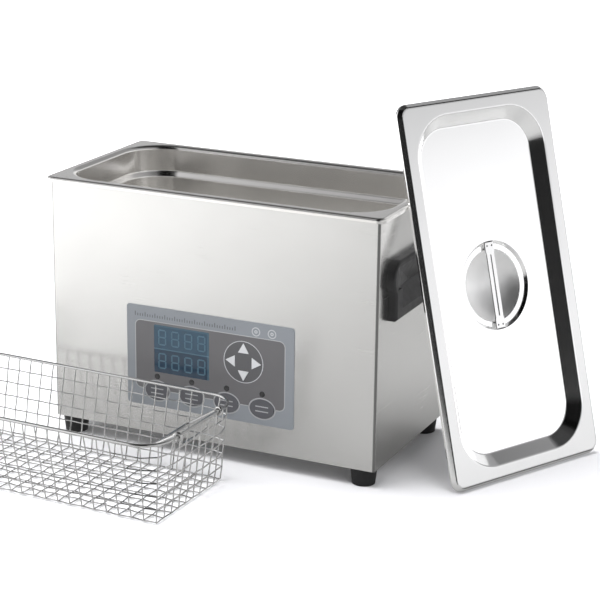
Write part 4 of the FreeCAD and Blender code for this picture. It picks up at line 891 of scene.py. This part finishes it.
def bail_path(side):
    """Handle wire: coil round the rim, leg, grip, leg and second coil."""
    x_rim = side * BASKET_RIM_HALF[0]
    eye = 2 * RIM_WIRE + 0.01 * MM
    z = BASKET_RIM_HEIGHT
    inward = -side
    grip_x = x_rim + inward * BAIL_LEG
    grip_z = z - BAIL_DROP

    def coil(y, toward):
        """A turn and a quarter around the rim bar, ending where the leg leaves."""
        points = []
        steps = 30
        for step in range(steps + 1):
            left = COIL_TURNS * (1 - step / steps)
            angle = 2 * math.pi * left
            drift = toward * left * 2.15 * RIM_WIRE
            points.append(Vector((x_rim + inward * eye * math.sin(angle + math.pi / 2),
                                  y + drift, z + eye * math.cos(angle + math.pi / 2))))
        return points

    near = coil(-EYE_SPACING / 2, -1)
    far = coil(EYE_SPACING / 2, 1)
    corner_near = Vector((grip_x, -BAIL_GRIP / 2, grip_z))
    corner_far = Vector((grip_x, BAIL_GRIP / 2, grip_z))
    middle = rounded_path([near[-1], corner_near, corner_far, far[-1]], 5 * MM)
    return near[:-1] + middle + far[::-1][1:]


def stop_path(side):
    """Bent wire under the rim on which the folding handle rests."""
    x_top = side * (BASKET_RIM_HALF[0] - RIM_WIRE)
    high = BASKET_RIM_HEIGHT - 0.5 * MM
    low = BASKET_RIM_HEIGHT - STOP_LENGTH
    inner = side * (BASKET_RIM_HALF[0] - RIM_WIRE - STOP_INSET)
    return rounded_path([Vector((x_top, -STOP_HALF, high)), Vector((inner, -STOP_HALF, low)),
                         Vector((inner, STOP_HALF, low)), Vector((x_top, STOP_HALF, high))], 4 * MM)


def build_basket():
    """The wire basket and its two folding handles."""
    place = basket_matrix()

    def wires(name, paths, radius, body, *nodes, sides=8, closed=False):
        mesh = wires_mesh(paths, radius, sides, closed)
        mesh.transform(place)
        piece(name, mesh, body, "wire_steel", "wire_steel", *nodes)

    wires("basket_weave", basket_wires(), MESH_WIRE, "basket", "basket_floor_wires", "basket_wall_wires")
    wires("basket_rows", basket_loops(), MESH_WIRE, "basket", "basket_wall_loops", closed=True)
    wires("basket_rim_wire", [rim_path()], RIM_WIRE, "basket", "basket_rim", sides=14, closed=True)
    wires("basket_stop_wires", [stop_path(-1), stop_path(1)], STOP_WIRE, "basket", "basket_stops", sides=10)
    for side, word in ((1, "right"), (-1, "left")):
        wires("bail_" + word, [bail_path(side)], RIM_WIRE, word + "_bail", "basket_handle_" + word, sides=12)


# --- printed panel -----------------------------------------------------------------------------
def plate_mesh(outlines, y):
    """Flat plates standing in front of the plane y, from closed outlines of (x, z) points."""
    work = bmesh.new()
    for outline in outlines:
        back = [work.verts.new((x, y, z)) for x, z in outline]
        front = [work.verts.new((x, y - PRINT, z)) for x, z in outline]
        work.faces.new(back)
        work.faces.new(front[::-1])
        count = len(outline)
        for k in range(count):
            after = (k + 1) % count
            work.faces.new((back[k], front[k], front[after], back[after]))
    return mesh_from(work)


def ring_mesh(rings, y, steps=64):
    """Flat rings in front of the plane y; each is (x, z, outer half width, outer half height, band)."""
    work = bmesh.new()
    turns = [2 * math.pi * k / steps for k in range(steps)]
    for x, z, half_w, half_h, band in rings:
        outer = [(x + half_w * math.cos(turn), z + half_h * math.sin(turn)) for turn in turns]
        inner = [(x + (half_w - band) * math.cos(turn), z + (half_h - band) * math.sin(turn))
                 for turn in turns]
        band_into(work, outer, inner, y)
    return mesh_from(work)


def band_into(work, outer, inner, y):
    """Adds a flat band between two outlines with equal point counts, in front of the plane y."""
    rows = []
    for outline, depth in ((outer, 0), (outer, PRINT), (inner, PRINT), (inner, 0)):
        rows.append([work.verts.new((x, y - depth, z)) for x, z in outline])
    count = len(outer)
    for first, second in zip(rows, rows[1:] + rows[:1]):
        for k in range(count):
            after = (k + 1) % count
            work.faces.new((first[k], first[after], second[after], second[k]))


def seven_segments(x, z, width, height, bar):
    """Outlines of the seven bars of a figure eight, with (x, z) as its lower left corner."""
    gap = bar * 0.12
    tip = bar / 2
    outlines = []

    def level(z0):
        left, right = x + tip + gap, x + width - tip - gap
        return [(left, z0), (left + tip, z0 - tip), (right - tip, z0 - tip),
                (right, z0), (right - tip, z0 + tip), (left + tip, z0 + tip)]

    def upright_bar(x0, low, high):
        low, high = low + gap, high - gap
        return [(x0, low), (x0 + tip, low + tip), (x0 + tip, high - tip),
                (x0, high), (x0 - tip, high - tip), (x0 - tip, low + tip)]

    for share in (0, 0.5, 1):
        outlines.append(level(z + tip + share * (height - bar)))
    for x0 in (x + tip, x + width - tip):
        outlines.append(upright_bar(x0, z + tip, z + height / 2))
        outlines.append(upright_bar(x0, z + height / 2, z + height - tip))
    return outlines


def rounded_rectangle(left, right, bottom, top, radius, steps=6):
    """Corner points (x, z) of a rectangle with round corners."""
    outline = []
    for x, z, turn in ((right - radius, top - radius, 0), (left + radius, top - radius, 90),
                       (left + radius, bottom + radius, 180), (right - radius, bottom + radius, 270)):
        outline += arc_points(x, z, radius, turn, turn + 90, steps)
    return outline


def box_outline(x, z, half_x, half_z):
    """Corners (x, z) of a rectangle around its middle."""
    return [(x - half_x, z - half_z), (x + half_x, z - half_z), (x + half_x, z + half_z),
            (x - half_x, z + half_z)]


def tick_scale(left, right, z):
    """Fine ticks of a plain scale, every fourth one taller."""
    outlines = []
    for k in range(TICKS):
        x = left + (right - left) * k / (TICKS - 1)
        height = TICK_HEIGHTS[0] if k % 4 == 0 else TICK_HEIGHTS[1]
        outlines.append(box_outline(x, z + height / 2, TICK_HALF, height / 2))
    return outlines


def build_display():
    """Two rows of four unlit figures, and the line between the rows."""
    low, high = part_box("display_window")
    width = high.x - low.x
    height = high.z - low.z
    outlines = []
    for row in range(2):
        for column in range(4):
            x = low.x + width * (0.075 + 0.238 * column)
            z = low.z + height * (0.085 + 0.495 * row)
            outlines += seven_segments(x, z, *FIGURE)
    line = box_outline((low.x + high.x) / 2, low.z + height / 2, width / 2, DIVIDER_HALF)
    for name, shapes in (("display_digits", outlines), ("display_divider", [line])):
        piece(name, plate_mesh(shapes, low.y), "cleaner", "display_tint", "display_digit")


def build_keys():
    """Two plain bars on each oval key, which move with it, and a printed ring around each key."""
    rings = []
    for number in range(1, 5):
        low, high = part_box("oval_key_%d" % number)
        middle = (low + high) / 2
        rings.append((middle.x, middle.z, (high.x - low.x) / 2 + KEY_RING_GAP,
                      (high.z - low.z) / 2 + KEY_RING_GAP, KEY_RING))
        bars = [box_outline(middle.x, middle.z + z, *KEY_MARK_HALF) for z in KEY_MARK_HEIGHTS]
        piece("key_marks_%d" % number, plate_mesh(bars, low.y), "oval_key_%d_body" % number, "key_plastic",
              "print_ring")
    return rings


def build_panel():
    """Everything printed on the control panel's film, and the display's figures."""
    low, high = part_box("front_overlay")

    def printed(name, mesh, look):
        piece(name, mesh, "cleaner", "overlay_film", look)

    left, right = low.x + FIELD_INSET["X"][0], high.x - FIELD_INSET["X"][1]
    bottom, top = low.z + FIELD_INSET["Z"][0], high.z - FIELD_INSET["Z"][1]
    outer = rounded_rectangle(left, right, bottom, top, FIELD_RADIUS)
    inner = rounded_rectangle(left + FIELD_LINE, right - FIELD_LINE, bottom + FIELD_LINE, top - FIELD_LINE,
                              FIELD_RADIUS - FIELD_LINE)
    work = bmesh.new()
    band_into(work, outer, inner, low.y)
    printed("field_line", mesh_from(work), "print_ring")
    build_display()
    pad = (*arrow_pad_centre(), PAD_RADIUS, PAD_RADIUS, ARROW_RING)
    printed("arrow_ring", ring_mesh([pad], low.y), "print_light")
    printed("key_rings", ring_mesh(build_keys(), low.y), "print_ring")
    ticks = tick_scale(low.x + SCALE_SPAN[0], low.x + SCALE_SPAN[1], high.z - SCALE_DROP)
    printed("panel_scale", plate_mesh(ticks, low.y), "print_dark")
    signs = [(high.x - inset, high.z - SIGN_DROP, radius, radius, band)
             for inset in SIGN_INSETS for radius, band in SIGN_RINGS]
    printed("panel_dots", ring_mesh(signs, low.y, 32), "print_light")


# --- stage, light, camera -----------------------------------------------------------------------
FLOOR_HALF = 6.0
FLOOR_FADE = (0.5, 1.5)
# Painted light and a painted shadow that the floor glows with for glossy rays only.
PAINTED_LIGHT_NEAR = 0.12
PAINTED_LIGHT_TO_LEFT = 1.35
PAINTED_LIGHT_AWAY = 0.15
PAINTED_LIGHT_RANGE = (0.15, 1.3)
PAINTED_SHADOW_GLOW = 0.15
PAINTED_SHADOW_X = (0.12, 0.20)
PAINTED_SHADOW_Y = (-0.12, -0.02)
PAINTED_SHADOW_GLOW_X = (0.18, 0.27)


def painted_floor_reflection(shader, x, y):
    """Painted light that the floor glows with for steel to mirror: paler to the left and far away, and a
    painted shadow right of and behind the cleaner that glows only faintly.
    """
    painted_shadow_mask = shader.product(shader.smooth(x, *PAINTED_SHADOW_X), shader.smooth(y, *PAINTED_SHADOW_Y))
    painted_shadow_light = shader.product(painted_shadow_mask, shader.product(shader.smooth(x, *PAINTED_SHADOW_GLOW_X), PAINTED_SHADOW_GLOW))
    away = shader.total(shader.product(x, -PAINTED_LIGHT_TO_LEFT), shader.product(shader.size(y), PAINTED_LIGHT_AWAY))
    painted_light_level = shader.math("MAXIMUM", shader.total(away, PAINTED_LIGHT_NEAR), PAINTED_LIGHT_RANGE[0])
    painted_light_level = shader.math("MINIMUM", painted_light_level, PAINTED_LIGHT_RANGE[1])
    painted_light_glow = shader.product(shader.math("SUBTRACT", 1.0, painted_shadow_mask), painted_light_level)
    return shader.total(painted_light_glow, painted_shadow_light)


def build_stage():
    """Pale floor that fades to white for the camera; for the steel that mirrors it, a darker copy with
    painted light and a painted shadow glowing on it.
    """
    half = FLOOR_HALF
    mesh = bpy.data.meshes.new("floor")
    corners = [(-half, -half, 0), (half, -half, 0), (half, half, 0), (-half, half, 0)]
    mesh.from_pydata(corners, [], [(0, 1, 2, 3)])
    floor = bpy.data.objects.new("floor", mesh)
    bpy.context.scene.collection.objects.link(floor)
    floor.location.z = -0.2 * MM
    shader = Shader("floor_white")
    tone = shader.noise(3)
    paper = shader.mixed(tone, (0.86, 0.86, 0.885), (0.89, 0.89, 0.91))
    # A darker copy of the floor, painted shade, that steel mirrors in place of the lit paper.
    painted_reflection_grey = shader.mixed(tone, (0.30, 0.30, 0.30), (0.31, 0.31, 0.31))
    path = shader.node("ShaderNodeLightPath")
    mirrored = path.outputs["Is Glossy Ray"]
    shader.put("Base Color", shader.mixed(mirrored, paper, painted_reflection_grey))
    shader.put("Roughness", 0.85)
    x, y, z = shader.parts(shader.coordinates)
    distance = shader.node("ShaderNodeVectorMath", {0: shader.coordinates}, operation="LENGTH")
    fade = shader.smooth(distance.outputs["Value"], *FLOOR_FADE)
    shader.put("Emission Color", (1, 1, 1, 1))
    seen_glow = shader.product(fade, path.outputs["Is Camera Ray"])
    painted_reflection_glow = shader.product(mirrored, painted_floor_reflection(shader, x, y))
    shader.put("Emission Strength", shader.total(seen_glow, painted_reflection_glow))
    mesh.materials.append(shader.material)


DARK_SIDE_AZIMUTH = math.radians(-84)
DARK_SIDE = (math.radians(27), math.radians(36))
SOFTBOX = (math.radians(-115), math.radians(-127))
RIGHT_BOX_AZIMUTH = math.radians(15)
RIGHT_BOX = (math.radians(32), math.radians(47))
BACKDROP_GLOW = 1.1


def build_world():
    """White backdrop for the camera; for steel, a room that is bright right and behind, dark in front."""
    world = bpy.data.worlds.new("studio")
    bpy.context.scene.world = world
    world.use_nodes = True
    sky = Nodes(world.node_tree)
    x, y, z = sky.parts(sky.node("ShaderNodeTexCoord").outputs["Generated"])
    azimuth = sky.math("ARCTAN2", y, x)
    from_dark = sky.size(sky.total(azimuth, -DARK_SIDE_AZIMUTH))
    around = sky.smooth(from_dark, *DARK_SIDE, 0.02, 1.0)
    softbox = sky.smooth(azimuth, *SOFTBOX, 0.0, 1.6)
    from_right = sky.size(sky.total(azimuth, -RIGHT_BOX_AZIMUTH))
    right_box = sky.smooth(from_right, *RIGHT_BOX, 0.3, 0.0)
    low = sky.smooth(z, 0.12, 0.30, 1.0, 0.34)
    high = sky.smooth(z, 0.70, 0.84, 1.0, 0.12)
    path = sky.node("ShaderNodeLightPath")
    inside_tank = sky.product(sky.math("GREATER_THAN", path.outputs["Glossy Depth"], 1.5), 0.65)
    around_all = sky.total(around, sky.total(softbox, right_box))
    strength = sky.total(sky.product(sky.product(around_all, low), high), inside_tank)
    room = sky.node("ShaderNodeBackground", {"Color": (0.985, 0.985, 1.0, 1), "Strength": strength})
    seen = sky.node("ShaderNodeBackground", {"Color": (1, 1, 1, 1), "Strength": BACKDROP_GLOW})
    shown = {0: path.outputs["Is Camera Ray"], 1: room.outputs[0], 2: seen.outputs[0]}
    mix = sky.node("ShaderNodeMixShader", shown)
    sky.node("ShaderNodeOutputWorld", {"Surface": mix.outputs[0]})


def area_light(name, place, target, size, power):
    """A square soft light that steel does not mirror."""
    data = bpy.data.lights.new(name, "AREA")
    data.shape = "RECTANGLE"
    data.size = size
    data.size_y = size
    data.energy = power
    light = bpy.data.objects.new(name, data)
    light.location = place
    light.rotation_euler = (Vector(target) - Vector(place)).to_track_quat("-Z", "Y").to_euler()
    light.visible_glossy = False
    bpy.context.scene.collection.objects.link(light)


def build_lights():
    """Large soft lights above and on both sides, for the floor and the plastics."""
    area_light("overhead", (-0.6, -0.15, 2.4), (0, 0, 0), 2.2, 92)
    area_light("left_fill", (-1.6, 0.5, 1.6), (0, 0, 0.1), 1.5, 30)
    area_light("right_fill", (1.5, -0.8, 1.3), (0.3, 0, 0), 1.2, 14)


def build_camera():
    """A long lens, a little above the cleaner and to its right."""
    data = bpy.data.cameras.new("camera")
    data.sensor_width = 36
    data.lens = CAMERA_LENS
    data.clip_start = 0.05
    data.clip_end = 60
    camera = bpy.data.objects.new("camera", data)
    ahead = Vector((math.sin(CAMERA_AZIMUTH), -math.cos(CAMERA_AZIMUTH), 0))
    away = ahead * math.cos(CAMERA_ELEVATION) + Vector((0, 0, math.sin(CAMERA_ELEVATION)))
    right = Vector((math.cos(CAMERA_AZIMUTH), math.sin(CAMERA_AZIMUTH), 0))
    level = Matrix((right, away.cross(right), away)).transposed().to_4x4()
    turn = level @ Matrix.Rotation(CAMERA_ROLL, 4, "Z")
    camera.matrix_world = Matrix.Translation(CAMERA_TARGET + away * CAMERA_DISTANCE) @ turn
    bpy.context.scene.collection.objects.link(camera)
    bpy.context.scene.camera = camera


bpy.context.scene.view_settings.view_transform = "Standard"
build_tank()
build_grip(build_lid())
build_basket()
build_panel()
build_stage()
build_world()
build_lights()
build_camera()
